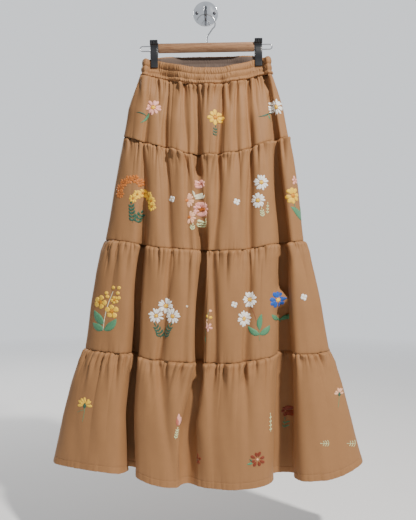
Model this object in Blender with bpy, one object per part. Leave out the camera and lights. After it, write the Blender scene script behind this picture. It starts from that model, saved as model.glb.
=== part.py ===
"""Tiered maxi skirt on a clip hanger that hangs from a wall hook.

Metres, +Z up. The origin is the centre of the wall plate's back face, which lies on the
wall. +X is to the right as seen from the front and the skirt's front faces -Y.

The skirt is an elastic waistband and four gathered tiers, each cut as a front and a back
panel. A level number names a height on the cloth: 0 is the top of the waistband, 1 the
waist seam, 2, 3 and 4 the seams between tiers, and 5 the hem.
"""

import math

import bmesh
import bpy
import numpy as np
from mathutils import Vector

# Cloth, and the gaps at seams and between pieces that touch
CLOTH = 0.0015
WAISTBAND_CLOTH = 0.003
SEAM_GAP = 0.0006
SIDE_GAP = 0.0003
SEAT_GAP = 0.0003

# Hanger
HANGER_Y = -0.042
HANGER_LEAN = math.radians(1.05)
BAR_LENGTH, BAR_HEIGHT, BAR_DEPTH = 0.2405, 0.0235, 0.013
BAR_TOP = -0.0885
BAR_ROUNDING = 0.004
RAIL_WIRE, RAIL_SPREAD, RAIL_TIP = 0.0028, 0.0122, 0.1664
HOOK_WIRE, HOOK_RADIUS, HOOK_START, HOOK_END = 0.0034, 0.0237, 157, -14
HOOK_BENDS = ((0.0160, -0.0380), (0.0090, -0.0480), (0.0045, -0.0545), (0.0030, -0.0610))

# Clips
CLIP_X, CLIP_WIDTH, ARM_WIDTH = 0.1304, 0.0200, 0.0186
JAW_THICKNESS, RIB = 0.0030, 0.0015
CORE_HALF, CORE_WIDTH, CORE_ROUNDING = 0.0030, 0.0160, 0.0006
WAIST_PAD = 0.0033  # half the thickness of the waistband between the pads
JAW_COLUMNS = ("above_rail", "stand_off", "ribbed")
JAW_PROFILE = (
    (0.0182, 0.0105, 1.0),
    (0.0102, 0.0085, 1.0),
    (0.0070, 0.0050, 1.0),
    (0.0044, CORE_HALF + SEAT_GAP, 0.0),
    (-0.0044, CORE_HALF + SEAT_GAP, 0.0),
    (-0.0120, 0.0060, 0.0),
    (-0.0268, 0.0052, 0.0),
    (-0.0318, WAIST_PAD + SEAT_GAP, 0.0),
    (-0.0488, WAIST_PAD + SEAT_GAP, 0.0),
)
RIB_EDGES = ((-0.50, 0.0), (-0.42, 1.0), (-0.20, 1.0), (-0.10, 0.0), (0.0, 1.0))
CLIPPED_HALF, INNER_FADE, OUTER_FADE = 0.0125, 0.034, 0.011

# Wall hook
PLATE_RADIUS, PLATE_THICKNESS, PLATE_DOME, PLATE_CHAMFER = 0.0320, 0.0040, 0.0025, 0.0012
SCREW_X, SCREW_RADIUS, SCREW_HEAD = 0.0225, 0.0042, 0.0015
SCREW_Z = 0.0010
PRONG_RADIUS = 0.0036
PRONG_ROOT, PRONG_LOW = -0.0040, -0.0215
PRONG_NECK = ((0.004, 0.0), (0.013, -0.0050))  # out from the plate, up from the root
PRONG_BEND = ((-0.010, 0.0030), (0.0, 0.0), (0.009, 0.0015), (0.0150, 0.0090), (0.0170, 0.0200))

# The skirt's sections, from the waist down to the hem
SECTION_COLUMNS = ("level", "centre_x", "half_width", "front", "back", "centre_y", "pinch")
SECTIONS = (
    (0.00, 0.0030, 0.1575, 0.038, 0.017, -0.0420, 1.00),
    (0.70, 0.0028, 0.1600, 0.044, 0.020, -0.0420, 1.00),
    (1.00, 0.0025, 0.1635, 0.047, 0.022, -0.0425, 0.72),
    (1.25, 0.0018, 0.1780, 0.056, 0.027, -0.0440, 0.34),
    (1.55, 0.0012, 0.1925, 0.062, 0.031, -0.0460, 0.08),
    (2.00, 0.0020, 0.2045, 0.067, 0.034, -0.0480, 0.00),
    (2.20, 0.0018, 0.2150, 0.074, 0.036, -0.0490, 0.00),
    (2.50, 0.0020, 0.2280, 0.079, 0.038, -0.0505, 0.00),
    (3.00, -0.0020, 0.2450, 0.083, 0.039, -0.0520, 0.00),
    (3.10, -0.0020, 0.2560, 0.089, 0.040, -0.0525, 0.00),
    (3.30, -0.0010, 0.2700, 0.093, 0.041, -0.0530, 0.00),
    (3.60, 0.0015, 0.2850, 0.096, 0.042, -0.0540, 0.00),
    (4.00, 0.0040, 0.3010, 0.097, 0.043, -0.0550, 0.00),
    (4.10, 0.0040, 0.3160, 0.104, 0.044, -0.0555, 0.00),
    (4.30, 0.0030, 0.3340, 0.108, 0.045, -0.0560, 0.00),
    (4.60, 0.0030, 0.3550, 0.112, 0.046, -0.0570, 0.00),
    (5.00, 0.0060, 0.3800, 0.115, 0.047, -0.0580, 0.00),
)
FRONT_ROUNDNESS, BACK_ROUNDNESS = 0.80, 0.70
PUFF, PUFF_REACH = 0.0035, 0.15

# Height of each seam line at the side seams, and how far its front hangs below that at
# stations across the front, from the left side seam (-1) to the right one (+1)
SIDE_HEIGHT = (-0.1315, -0.1715, -0.3265, -0.5820, -0.8500, -1.1240)
STATIONS = (-1.0, -0.8, -0.6, -0.45, -0.25, 0.0, 0.25, 0.45, 0.6, 0.8, 1.0)
FRONT_DROP = (
    (-0.004, 0.000, 0.010, 0.019, 0.027, 0.030, 0.029, 0.021, 0.012, 0.000, -0.004),
    (0.000, 0.003, 0.013, 0.020, 0.028, 0.031, 0.029, 0.021, 0.014, 0.003, 0.000),
    (0.000, 0.015, 0.027, 0.033, 0.046, 0.050, 0.046, 0.038, 0.026, 0.012, 0.000),
    (0.000, 0.004, 0.013, 0.019, 0.022, 0.026, 0.026, 0.022, 0.014, 0.007, 0.002),
    (-0.003, 0.001, 0.006, 0.015, 0.020, 0.024, 0.022, 0.013, 0.006, 0.006, 0.003),
    (0.000, 0.000, 0.006, 0.018, 0.034, 0.038, 0.037, 0.030, 0.028, 0.022, 0.000),
)
BACK_RISE = (0.0125, 0.0100, 0.0030, 0.0010, 0.0000, 0.0000)
LEAN_SHARE = (1.0, 1.0, 0.0, 0.0, 0.0, 0.0)

# Drape folds of the front: place across the front, depth, half width and how broad the
# bottom is, each at the waist seam, at the three seams between tiers, in the middle of
# the last tier and at the hem
FOLD_LEVELS = (1.0, 2.0, 3.0, 4.0, 4.5, 5.0)
SOFT_FLOOR = (0.003,) * 6
FRONT_FOLDS = {
    "left": {
        "x": (-0.136, -0.148, -0.153, -0.171, -0.178, -0.177),
        "depth": (0.003, 0.010, 0.030, 0.055, 0.068, 0.074),
        "width": (0.006, 0.007, 0.008, 0.009, 0.010, 0.011),
        "floor": (0.003, 0.003, 0.003, 0.003, 0.004, 0.004),
    },
    "left_of_centre": {
        "x": (-0.092, -0.100, -0.084, -0.110, -0.094, -0.072),
        "depth": (0.008, 0.012, 0.007, 0.008, 0.004, 0.004),
        "width": (0.006, 0.009, 0.012, 0.013, 0.018, 0.020),
        "floor": SOFT_FLOOR,
    },
    "beside_centre": {
        "x": (-0.052, -0.046, -0.040, -0.050, -0.074, -0.085),
        "depth": (0.005, 0.004, 0.005, 0.005, 0.000, 0.000),
        "width": (0.006, 0.008, 0.009, 0.012, 0.014, 0.014),
        "floor": SOFT_FLOOR,
    },
    "centre": {
        "x": (-0.022, -0.020, -0.008, -0.014, -0.044, -0.036),
        "depth": (0.006, 0.016, 0.032, 0.042, 0.024, 0.014),
        "width": (0.006, 0.009, 0.010, 0.012, 0.020, 0.026),
        "floor": (0.003, 0.003, 0.003, 0.003, 0.004, 0.004),
    },
    "right_of_centre": {
        "x": (0.038, 0.032, 0.020, 0.018, 0.020, 0.020),
        "depth": (0.010, 0.012, 0.008, 0.008, 0.002, 0.000),
        "width": (0.006, 0.008, 0.010, 0.012, 0.014, 0.014),
        "floor": SOFT_FLOOR,
    },
    "right_short": {
        "x": (0.074, 0.076, 0.076, 0.076, 0.076, 0.076),
        "depth": (0.009, 0.005, 0.001, 0.000, 0.000, 0.000),
        "width": (0.006, 0.008, 0.010, 0.010, 0.010, 0.010),
        "floor": SOFT_FLOOR,
    },
    "right_long": {
        "x": (0.104, 0.107, 0.104, 0.094, 0.096, 0.098),
        "depth": (0.012, 0.014, 0.010, 0.008, 0.003, 0.002),
        "width": (0.006, 0.008, 0.011, 0.013, 0.018, 0.020),
        "floor": SOFT_FLOOR,
    },
    "right": {
        "x": (0.148, 0.170, 0.189, 0.191, 0.193, 0.195),
        "depth": (0.010, 0.022, 0.048, 0.070, 0.078, 0.084),
        "width": (0.006, 0.008, 0.010, 0.013, 0.016, 0.018),
        "floor": (0.003, 0.003, 0.005, 0.009, 0.011, 0.012),
    },
}
BACK_FOLD_COUNT = 9
BACK_FOLD_DEPTH = (0.004, 0.009, 0.013, 0.018, 0.021, 0.023)
BACK_FOLD_WIDTH = (0.006, 0.008, 0.010, 0.012, 0.013, 0.015)
FOLD_SHOULDER, SHOULDER_WIDTH = 0.30, 3.2
PINNED_DEPTH = 0.007  # a fold this deep keeps one column down its bottom
LARGEST_PRESS = 0.75  # the most of the section's depth that folds may take
CREASE_ANGLE = 24.0

# Tiers: gathers in each panel, and the rows of points down it as shares of its height
TIERS = (
    {"gathers": 16, "front_rows": (0.0, 0.08, 0.22, 0.45, 0.70, 0.88, 1.0)},
    {"gathers": 24, "front_rows": (0.0, 0.06, 0.17, 0.38, 0.65, 0.86, 1.0)},
    {"gathers": 28, "front_rows": (0.0, 0.05, 0.15, 0.34, 0.62, 0.85, 1.0)},
    {"gathers": 32, "front_rows": (0.0, 0.05, 0.14, 0.30, 0.52, 0.74, 0.90, 1.0)},
)
BACK_ROWS = (0.0, 0.06, 0.18, 0.45, 0.78, 1.0)
GATHER_AT_SEAM, GATHER_BELOW = 0.0018, 0.0042
GATHER_RISE, GATHER_REACH, LONG_GATHER = 0.05, 0.20, 0.45
SHUT_GATHER = 0.12  # how much of a gather is left on the walls of a deep fold
SIDE_OPEN = 0.85
WAISTBAND_ROWS, WAISTBAND_INNER_ROWS = 7, (0.0, 0.35, 0.7, 1.0)
EAR_STEPS, CLIPPED_STEPS, MIDDLE_STEPS = 5, 2, 16
WAISTBAND_CHANNELS, CHANNEL_PUFF = 3, 0.0013

FINE = 721  # points of a half section before it is divided into columns

# Colours: base colour, roughness, metallic
FINISHES = {
    "cloth": ((0.36, 0.21, 0.105), 0.75, 0.0),
    "wood": ((0.52, 0.33, 0.19), 0.55, 0.0),
    "plastic": ((0.02, 0.022, 0.026), 0.45, 0.0),
    "steel": ((0.62, 0.62, 0.63), 0.28, 1.0),
    "chrome": ((0.80, 0.82, 0.85), 0.12, 1.0),
    "dark_steel": ((0.10, 0.10, 0.11), 0.40, 1.0),
}


def clear_scene():
    """Removes whatever the scene holds."""
    for old in list(bpy.data.objects):
        bpy.data.objects.remove(old)


def finish_material(name):
    """The material of that name, made once from FINISHES."""
    material = bpy.data.materials.get(name)
    if material is None:
        colour, roughness, metallic = FINISHES[name]
        material = bpy.data.materials.new(name)
        material.use_nodes = True
        shader = material.node_tree.nodes["Principled BSDF"]
        shader.inputs["Base Color"].default_value = (*colour, 1.0)
        shader.inputs["Roughness"].default_value = roughness
        shader.inputs["Metallic"].default_value = metallic
    return material


def add_object(name, data, finish, parent=None):
    """Links an object with its finish to the scene."""
    thing = bpy.data.objects.new(name, data)
    data.materials.append(finish_material(finish))
    bpy.context.scene.collection.objects.link(thing)
    thing.parent = parent
    return thing


def smooth_mesh(mesh, angle=40.0):
    """Shades a round mesh smooth, with edges sharper than angle left crisp."""
    mesh.shade_smooth()
    mesh.set_sharp_from_angle(angle=math.radians(angle))


def smooth_step(low, high, at):
    """0 below low, 1 above high, and an S curve between them."""
    share = np.clip((at - low) / (high - low), 0.0, 1.0)
    return share * share * (3.0 - 2.0 * share)


def curve_through(stations, heights, at):
    """A smooth curve through the points, with each slope taken from its neighbours."""
    stations, heights = np.asarray(stations), np.asarray(heights)
    slopes = np.gradient(heights, stations)
    index = np.clip(np.searchsorted(stations, at) - 1, 0, len(stations) - 2)
    span = stations[index + 1] - stations[index]
    share = (at - stations[index]) / span
    rising = smooth_step(0.0, 1.0, share)
    start_slope = share * (1.0 - share) ** 2 * span * slopes[index]
    end_slope = share**2 * (share - 1.0) * span * slopes[index + 1]
    return heights[index] * (1.0 - rising) + heights[index + 1] * rising + start_slope + end_slope


def grid_faces(rows, columns, closed, start, flipped):
    """Triangles of a grid of points, each square split the same way."""
    across = columns if closed else columns - 1
    row, column = np.meshgrid(np.arange(rows - 1), np.arange(across), indexing="ij")
    a = start + row * columns + column
    b = start + row * columns + (column + 1) % columns
    c, d = a + columns, b + columns
    halves = np.stack([a, c, d], axis=-1), np.stack([a, d, b], axis=-1)
    triangles = np.concatenate(halves).reshape(-1, 3)
    return triangles[:, ::-1] if flipped else triangles


def rim_faces(edge, other):
    """Triangles of a strip between two rows of point numbers."""
    a, b, c, d = edge[:-1], edge[1:], other[:-1], other[1:]
    return np.concatenate([np.stack([a, b, d], axis=-1), np.stack([a, d, c], axis=-1)])


def wall(name, outer, inner, closed, finish, parent=None, shade_angle=CREASE_ANGLE):
    """A closed solid between two grids of points (rows, columns, 3), outer one outside.

    A closed wall runs all the way round, and its inner grid may have fewer rows; an open
    one ends in a rim at both sides.
    """
    (rows, columns), inner_rows = outer.shape[:2], len(inner)
    points = np.concatenate([outer.reshape(-1, 3), inner.reshape(-1, 3)])
    number = np.arange(rows * columns).reshape(rows, columns)
    inside = rows * columns + np.arange(inner_rows * columns).reshape(inner_rows, columns)
    if closed:
        number = np.concatenate([number, number[:, :1]], axis=1)
        inside = np.concatenate([inside, inside[:, :1]], axis=1)
    faces = [
        grid_faces(rows, columns, closed, 0, False),
        grid_faces(inner_rows, columns, closed, rows * columns, True),
        rim_faces(number[0], inside[0]),
        rim_faces(inside[-1], number[-1]),
    ]
    if not closed:
        faces.append(rim_faces(inside[:, 0], number[:, 0]))
        faces.append(rim_faces(number[:, -1], inside[:, -1]))
    mesh = bpy.data.meshes.new(name)
    mesh.from_pydata(points.tolist(), [], np.concatenate(faces).tolist())
    smooth_mesh(mesh, shade_angle)
    return add_object(name, mesh, finish, parent)


def at_level(column, level):
    """A column of SECTIONS at a level."""
    place = SECTION_COLUMNS.index(column)
    return np.interp(level, [row[0] for row in SECTIONS], [row[place] for row in SECTIONS])


def clip_places():
    """Where the two clips press the waistband, which the hanger's lean moves sideways."""
    pads = BAR_TOP - BAR_HEIGHT / 2 + JAW_PROFILE[-1][0]
    shift = -math.tan(HANGER_LEAN) * pads
    return -CLIP_X + shift, CLIP_X + shift


def pinch_share(x):
    """1 where the clips press the waistband flat, falling to 0 on both sides of them."""
    left, right = clip_places()
    inward = (right - left) / 2 - np.abs(x - (left + right) / 2)
    inner_side = 1.0 - smooth_step(CLIPPED_HALF, CLIPPED_HALF + INNER_FADE, inward)
    outer_side = 1.0 - smooth_step(CLIPPED_HALF, CLIPPED_HALF + OUTER_FADE, -inward)
    return np.where(inward > 0, inner_side, outer_side)


def groove(distance, width, floor):
    """A fold's cross-section: 1 at its bottom, narrow, with broad soft shoulders."""
    from_floor = np.sqrt(distance**2 + floor**2) - floor
    slot = np.exp(-((from_floor / width) ** 1.5))
    shoulder = np.exp(-((distance / (SHOULDER_WIDTH * width)) ** 2))
    return (1.0 - FOLD_SHOULDER) * slot + FOLD_SHOULDER * shoulder


def front_folds():
    """The front's folds, from left to right."""
    return list(FRONT_FOLDS.values())


def back_folds():
    """The back's folds, evenly spread with small steady differences between them."""
    folds = []
    for number in range(BACK_FOLD_COUNT):
        place = (number + 0.5) / BACK_FOLD_COUNT * 2.0 - 1.0 + 0.05 * math.sin(2.3 * number)
        strength = 0.75 + 0.25 * math.sin(1.7 * number + 0.6)
        half_widths = [at_level("half_width", level) for level in FOLD_LEVELS]
        folds.append(
            {
                "x": [0.92 * place * half for half in half_widths],
                "depth": [strength * depth for depth in BACK_FOLD_DEPTH],
                "width": BACK_FOLD_WIDTH,
                "floor": SOFT_FLOOR,
            }
        )
    return folds


def fold_place(fold, level):
    """Where a fold lies across the front or back at a level."""
    return np.interp(level, FOLD_LEVELS, fold["x"])


def fold_depth(x, across, level, folds):
    """How far the folds press the cloth in at x, fading out towards the side seams."""
    total = np.zeros_like(x)
    for fold in folds:
        depth = np.interp(level, FOLD_LEVELS, fold["depth"])
        width = np.interp(level, FOLD_LEVELS, fold["width"])
        floor = np.interp(level, FOLD_LEVELS, fold["floor"])
        total += depth * groove(x - fold_place(fold, level), width, floor)
    return total * (1.0 - across**8) * smooth_step(0.3, 1.0, level)


def half_section(level, front):
    """A fine row of points along the front or back cloth at a level, left to right."""
    turn = np.linspace(-math.pi / 2, math.pi / 2, FINE)
    across = np.sin(turn)
    half_width = at_level("half_width", level)
    x = at_level("centre_x", level) + half_width * across
    if front:
        depth = at_level("front", level) * np.cos(turn).clip(0) ** FRONT_ROUNDNESS
    else:
        depth = at_level("back", level) * np.cos(turn).clip(0) ** BACK_ROUNDNESS
    pressed = at_level("pinch", level) * pinch_share(x)
    ends = smooth_step(0.0, WAIST_PAD, half_width * (1.0 - np.abs(across)))
    depth = depth + pressed * (WAIST_PAD * ends - depth)
    folds = front_folds() if front else back_folds()
    pressed_in = fold_depth(x, across, level, folds) * (1.0 - pressed)
    depth = depth - np.minimum(pressed_in, LARGEST_PRESS * depth)
    side = -1.0 if front else 1.0
    return x, at_level("centre_y", level) + side * depth


def line_height(line, level, x, front):
    """Height of a seam line, by its number, along the front or back cloth at a level."""
    across = ((x - at_level("centre_x", level)) / at_level("half_width", level)).clip(-1.0, 1.0)
    height = SIDE_HEIGHT[line] + LEAN_SHARE[line] * math.tan(HANGER_LEAN) * x
    if front:
        return height - curve_through(STATIONS, FRONT_DROP[line], across)
    return height + BACK_RISE[line] * (1.0 - across**4)


def along(x, y):
    """Length along a row of points, from 0 to 1."""
    steps = np.hypot(np.diff(x), np.diff(y))
    length = np.concatenate([[0.0], np.cumsum(steps)])
    return length / length[-1]


def outward(x, y, closed=False):
    """Level outward directions of a row of points that goes round anticlockwise from above."""
    if closed:
        step_x = np.roll(x, -1) - np.roll(x, 1)
        step_y = np.roll(y, -1) - np.roll(y, 1)
    else:
        step_x, step_y = np.gradient(x), np.gradient(y)
    length = np.hypot(step_x, step_y)
    return step_y / length, -step_x / length


def pinned_columns(tier, front):
    """Pairs of a deep fold and the column that runs down its bottom in a tier."""
    columns = 2 * TIERS[tier]["gathers"]
    middle, hem = tier + 1.5, tier + 2
    x, y = half_section(middle, front)
    pinned = []
    for fold in front_folds() if front else back_folds():
        if max(np.interp((middle, hem), FOLD_LEVELS, fold["depth"])) < PINNED_DEPTH:
            continue
        share = np.interp(fold_place(fold, middle), x, along(x, y))
        pinned.append((fold, 2 * round(share * columns / 2)))
    return pinned


def column_shares(tier, front, level, x, y):
    """Where a tier's columns lie along a row: a hollow in each deep fold, the rest between.

    Two columns make a gather. Their spacing is uneven, as gathers are.
    """
    columns = 2 * TIERS[tier]["gathers"]
    number = np.arange(columns + 1)
    place = number + 0.30 * np.sin(2.1 * number) + 0.12 * np.sin(0.83 * number + 1.0)
    length = along(x, y)
    knots, shares = [0], [0.0]
    for fold, column in pinned_columns(tier, front):
        knots.append(column)
        shares.append(float(np.interp(fold_place(fold, level), x, length)))
    knots.append(columns)
    shares.append(1.0)
    place[knots] = knots
    return np.interp(place, knots, shares)


def gather_wave(gathers, share):
    """Out at each crest and in at each hollow, at a share of a tier's height."""
    number = np.arange(2 * gathers + 1)
    strength = 0.78 + 0.22 * np.sin(2.7 * number + 0.4)
    reach = GATHER_REACH + LONG_GATHER * np.abs(np.sin(1.9 * (number // 2))) ** 3
    rise = smooth_step(0.0, GATHER_RISE, share)
    depth = GATHER_AT_SEAM + (GATHER_BELOW - GATHER_AT_SEAM) * rise
    fade = np.exp(-((share / reach) ** 1.5)) * (1.0 - share)
    wave = np.where(number % 2 == 1, 1.0, -1.0) * depth * strength * fade
    wave[[0, -1]] = 0.0
    return wave


def puff(share):
    """How far a tier swells out just below its upper seam."""
    return PUFF * smooth_step(0.0, GATHER_RISE, share) * math.exp(-share / PUFF_REACH) * (1.0 - share)


def tier_height(tier, share, x, front):
    """Heights of a tier's row of points, between the seam above it and the one below."""
    top_line = tier + 1
    level = top_line + share
    hem = top_line + 1 == len(SIDE_HEIGHT) - 1
    top = line_height(top_line, level, x, front) - SEAM_GAP / 2
    bottom = line_height(top_line + 1, level, x, front) + (0.0 if hem else SEAM_GAP / 2)
    return top + share * (bottom - top)


def panel_outward(x, y, front):
    """Outward directions along a panel's row, straight out sideways at both side seams."""
    out_x, out_y = outward(x, y)
    if not front:
        out_x, out_y = -out_x, -out_y
    out_x[[0, -1]] = (-1.0, 1.0)
    out_y[[0, -1]] = 0.0
    return out_x, out_y


def tier_row(tier, share, front):
    """One row of a tier's outer and inner points."""
    level = tier + 1 + share
    fine_x, fine_y = half_section(level, front)
    length = along(fine_x, fine_y)
    places = column_shares(tier, front, level, fine_x, fine_y)
    x, y = np.interp(places, length, fine_x), np.interp(places, length, fine_y)
    out_x, out_y = panel_outward(x, y, front)
    near_seam = smooth_step(SIDE_OPEN, 1.0, np.abs(2.0 * places - 1.0))
    in_the_open = SHUT_GATHER + (1.0 - SHUT_GATHER) * np.maximum(np.abs(out_y), near_seam)
    wave = in_the_open * (gather_wave(TIERS[tier]["gathers"], share) + puff(share))
    x, y = x + out_x * wave, y + out_y * wave
    y += -SIDE_GAP / 2 if front else SIDE_GAP / 2
    out_x, out_y = panel_outward(x, y, front)
    inner_x, inner_y = x - out_x * CLOTH, y - out_y * CLOTH
    outer = np.stack([x, y, tier_height(tier, share, x, front)], axis=1)
    inner = np.stack([inner_x, inner_y, tier_height(tier, share, inner_x, front)], axis=1)
    inner[[0, -1], 2] = outer[[0, -1], 2]
    return outer, inner


def make_tier_panel(tier, front):
    """The front or back panel of a tier, gathered into the seam above it."""
    shares = TIERS[tier]["front_rows"] if front else BACK_ROWS
    rows = [tier_row(tier, share, front) for share in shares]
    outer = np.array([row[0] for row in rows])
    inner = np.array([row[1] for row in rows])
    if not front:
        outer, inner = outer[:, ::-1], inner[:, ::-1]
    side = "front" if front else "back"
    wall(f"tier_{tier + 1}_{side}", outer, inner, False, "cloth")


def waistband_height(share, x, front):
    """Heights of the waistband's row of points, between its top and the waist seam."""
    top = line_height(0, share, x, front)
    bottom = line_height(1, share, x, front) + SEAM_GAP / 2
    return top + share * (bottom - top)


def waistband_half(share, front):
    """The front or back half of a ring, left to right, with columns at the clips' edges."""
    fine_x, fine_y = half_section(share, front)
    length = along(fine_x, fine_y)
    left, right = clip_places()
    edges = (left - CLIPPED_HALF, left + CLIPPED_HALF, right - CLIPPED_HALF, right + CLIPPED_HALF)
    shares = [0.0, *np.interp(edges, fine_x, length), 1.0]
    steps = (EAR_STEPS, CLIPPED_STEPS, MIDDLE_STEPS, CLIPPED_STEPS, EAR_STEPS)
    knots = np.concatenate([[0], np.cumsum(steps)])
    places = np.interp(np.arange(knots[-1] + 1), knots, shares)
    return np.interp(places, length, fine_x), np.interp(places, length, fine_y)


def waistband_ring(share, inside):
    """One closed ring of the waistband's outer or inner points, front then back."""
    front_x, front_y = waistband_half(share, True)
    back_x, back_y = waistband_half(share, False)
    x = np.concatenate([front_x[:-1], back_x[:0:-1]])
    y = np.concatenate([front_y[:-1], back_y[:0:-1]])
    is_front = np.arange(len(x)) < len(front_x) - 1
    out_x, out_y = outward(x, y, closed=True)
    if inside:
        offset = np.full(len(x), -WAISTBAND_CLOTH)
    else:
        swell = CHANNEL_PUFF * abs(math.sin(WAISTBAND_CHANNELS * math.pi * share))
        offset = swell * (1.0 - pinch_share(x))
    at_x, at_y = x + out_x * offset, y + out_y * offset
    side_seams = [0, len(front_x) - 1]
    height_x = at_x.copy()
    height_x[side_seams] = x[side_seams]
    front_height = waistband_height(share, height_x, True)
    height = np.where(is_front, front_height, waistband_height(share, height_x, False))
    return np.stack([at_x, at_y, height], axis=1)


def make_waistband():
    """The elastic casing: one strip, closed round, stitched into three channels."""
    shares = np.linspace(0.0, 1.0, WAISTBAND_ROWS)
    outer = np.array([waistband_ring(share, False) for share in shares])
    inner = np.array([waistband_ring(share, True) for share in WAISTBAND_INNER_ROWS])
    wall("waistband", outer, inner, True, "cloth")


def wire(name, route, radius, finish, parent=None, sides=2):
    """A round rod along a route of points, with closed ends."""
    curve = bpy.data.curves.new(name, "CURVE")
    curve.dimensions = "3D"
    spline = curve.splines.new("POLY")
    spline.points.add(len(route) - 1)
    for point, place in zip(spline.points, route):
        point.co = (*place, 1.0)
    curve.bevel_depth = radius
    curve.bevel_resolution = sides
    curve.use_fill_caps = True
    return add_object(name, curve, finish, parent)


def arc(centre, radius, start, end, steps):
    """Points on an arc in the XZ plane, angles in degrees from +X towards +Z."""
    angles = np.radians(np.linspace(start, end, steps))
    y = np.full(steps, centre[1])
    return np.stack([centre[0] + radius * np.cos(angles), y, centre[2] + radius * np.sin(angles)], axis=1)


def smooth_route(points, steps):
    """A smooth route through a few points, evenly spaced along it."""
    points = np.asarray(points)
    length = np.concatenate([[0.0], np.cumsum(np.linalg.norm(np.diff(points, axis=0), axis=1))])
    at = np.linspace(0.0, length[-1], steps)
    return np.stack([curve_through(length, points[:, axis], at) for axis in range(3)], axis=1)


def rounded_box(name, size, centre, rounding, finish, parent=None, segments=3):
    """A box with rounded edges."""
    mesh = bpy.data.meshes.new(name)
    body = bmesh.new()
    bmesh.ops.create_cube(body, size=1.0)
    bmesh.ops.scale(body, vec=Vector(size), verts=body.verts)
    body.to_mesh(mesh)
    body.free()
    box = add_object(name, mesh, finish, parent)
    box.location = centre
    bevel = box.modifiers.new("rounding", "BEVEL")
    bevel.width = rounding
    bevel.segments = segments
    bevel.limit_method = "NONE"
    return box


def make_hanger(crown):
    """The wooden bar, its hook and the wire loops that the clips slide on."""
    middle = BAR_TOP - BAR_HEIGHT / 2 - crown.location.z
    size = (BAR_LENGTH, BAR_DEPTH, BAR_HEIGHT)
    rounded_box("hanger_bar", size, (0.0, 0.0, middle), BAR_ROUNDING, "wood", crown)
    bow = arc((0.0, 0.0, -HOOK_RADIUS), HOOK_RADIUS, HOOK_START, HOOK_END, 18)
    bends = [(x, 0.0, z) for x, z in HOOK_BENDS]
    foot = (HOOK_BENDS[-1][0], 0.0, BAR_TOP + SEAT_GAP - crown.location.z)
    stem = smooth_route((bow[-2], bow[-1], *bends, foot), 12)
    wire("hanger_hook", np.concatenate([bow[:-2], stem]), HOOK_WIRE / 2, "steel", crown)
    for side, sign in (("left", -1.0), ("right", 1.0)):
        start = sign * (BAR_LENGTH / 2 + SEAT_GAP)
        bend = RAIL_TIP - RAIL_SPREAD / 2 - RAIL_WIRE / 2
        end = arc((bend, 0.0, middle), RAIL_SPREAD / 2, 90, -90, 7) * (sign, 1.0, 1.0)
        top = [(start, 0.0, middle + RAIL_SPREAD / 2)]
        bottom = [(start, 0.0, middle - RAIL_SPREAD / 2)]
        wire(f"rail_{side}", np.concatenate([top, end, bottom]), RAIL_WIRE / 2, "steel", crown)


def make_jaw(name, x, side, rail_height, crown):
    """One plastic jaw: ribbed grip, neck at the rail and flat pad on the waistband."""
    half = np.array(RIB_EDGES)
    rib_places = np.concatenate([half[:, 0], -half[-2::-1, 0]])
    rib_height = RIB * np.concatenate([half[:, 1], half[-2::-1, 1]])
    inner, outer = [], []
    for above_rail, stand_off, ribbed in JAW_PROFILE:
        width = CLIP_WIDTH if ribbed else ARM_WIDTH
        across = x - side * rib_places * width
        level = np.full(len(across), rail_height + above_rail)
        near = np.full(len(across), side * stand_off)
        far = side * (stand_off + JAW_THICKNESS + ribbed * rib_height)
        inner.append(np.stack([across, near, level], axis=1))
        outer.append(np.stack([across, far, level], axis=1))
    wall(name, np.array(outer), np.array(inner), False, "plastic", crown)


def make_clips(crown):
    """Both clips: two jaws and the core between them that slides on the rail."""
    rail_height = BAR_TOP - BAR_HEIGHT / 2 - crown.location.z
    size = (CORE_WIDTH, 2 * CORE_HALF, RAIL_SPREAD - RAIL_WIRE - 2 * SEAT_GAP)
    for place, x in (("left", -CLIP_X), ("right", CLIP_X)):
        make_jaw(f"clip_{place}_front_jaw", x, -1.0, rail_height, crown)
        make_jaw(f"clip_{place}_back_jaw", x, 1.0, rail_height, crown)
        centre = (x, 0.0, rail_height)
        rounded_box(f"clip_{place}_core", size, centre, CORE_ROUNDING, "plastic", crown, segments=1)


def turned(name, profile, finish, segments):
    """A solid turned about the Y axis from a profile of (radius, y) points."""
    mesh = bpy.data.meshes.new(name)
    body = bmesh.new()
    rings = []
    angles = [2 * math.pi * step / segments for step in range(segments)]
    for radius, y in profile:
        if radius == 0.0:
            rings.append([body.verts.new((0.0, y, 0.0))])
        else:
            places = [(radius * math.cos(a), y, radius * math.sin(a)) for a in angles]
            rings.append([body.verts.new(place) for place in places])
    for first, second in zip(rings, rings[1:]):
        for step in range(segments):
            following = (step + 1) % segments
            if len(first) == 1:
                body.faces.new((first[0], second[following], second[step]))
            elif len(second) == 1:
                body.faces.new((first[step], first[following], second[0]))
            else:
                body.faces.new((first[step], first[following], second[following], second[step]))
    bmesh.ops.recalc_face_normals(body, faces=body.faces)
    body.to_mesh(mesh)
    body.free()
    smooth_mesh(mesh)
    return add_object(name, mesh, finish)


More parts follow.
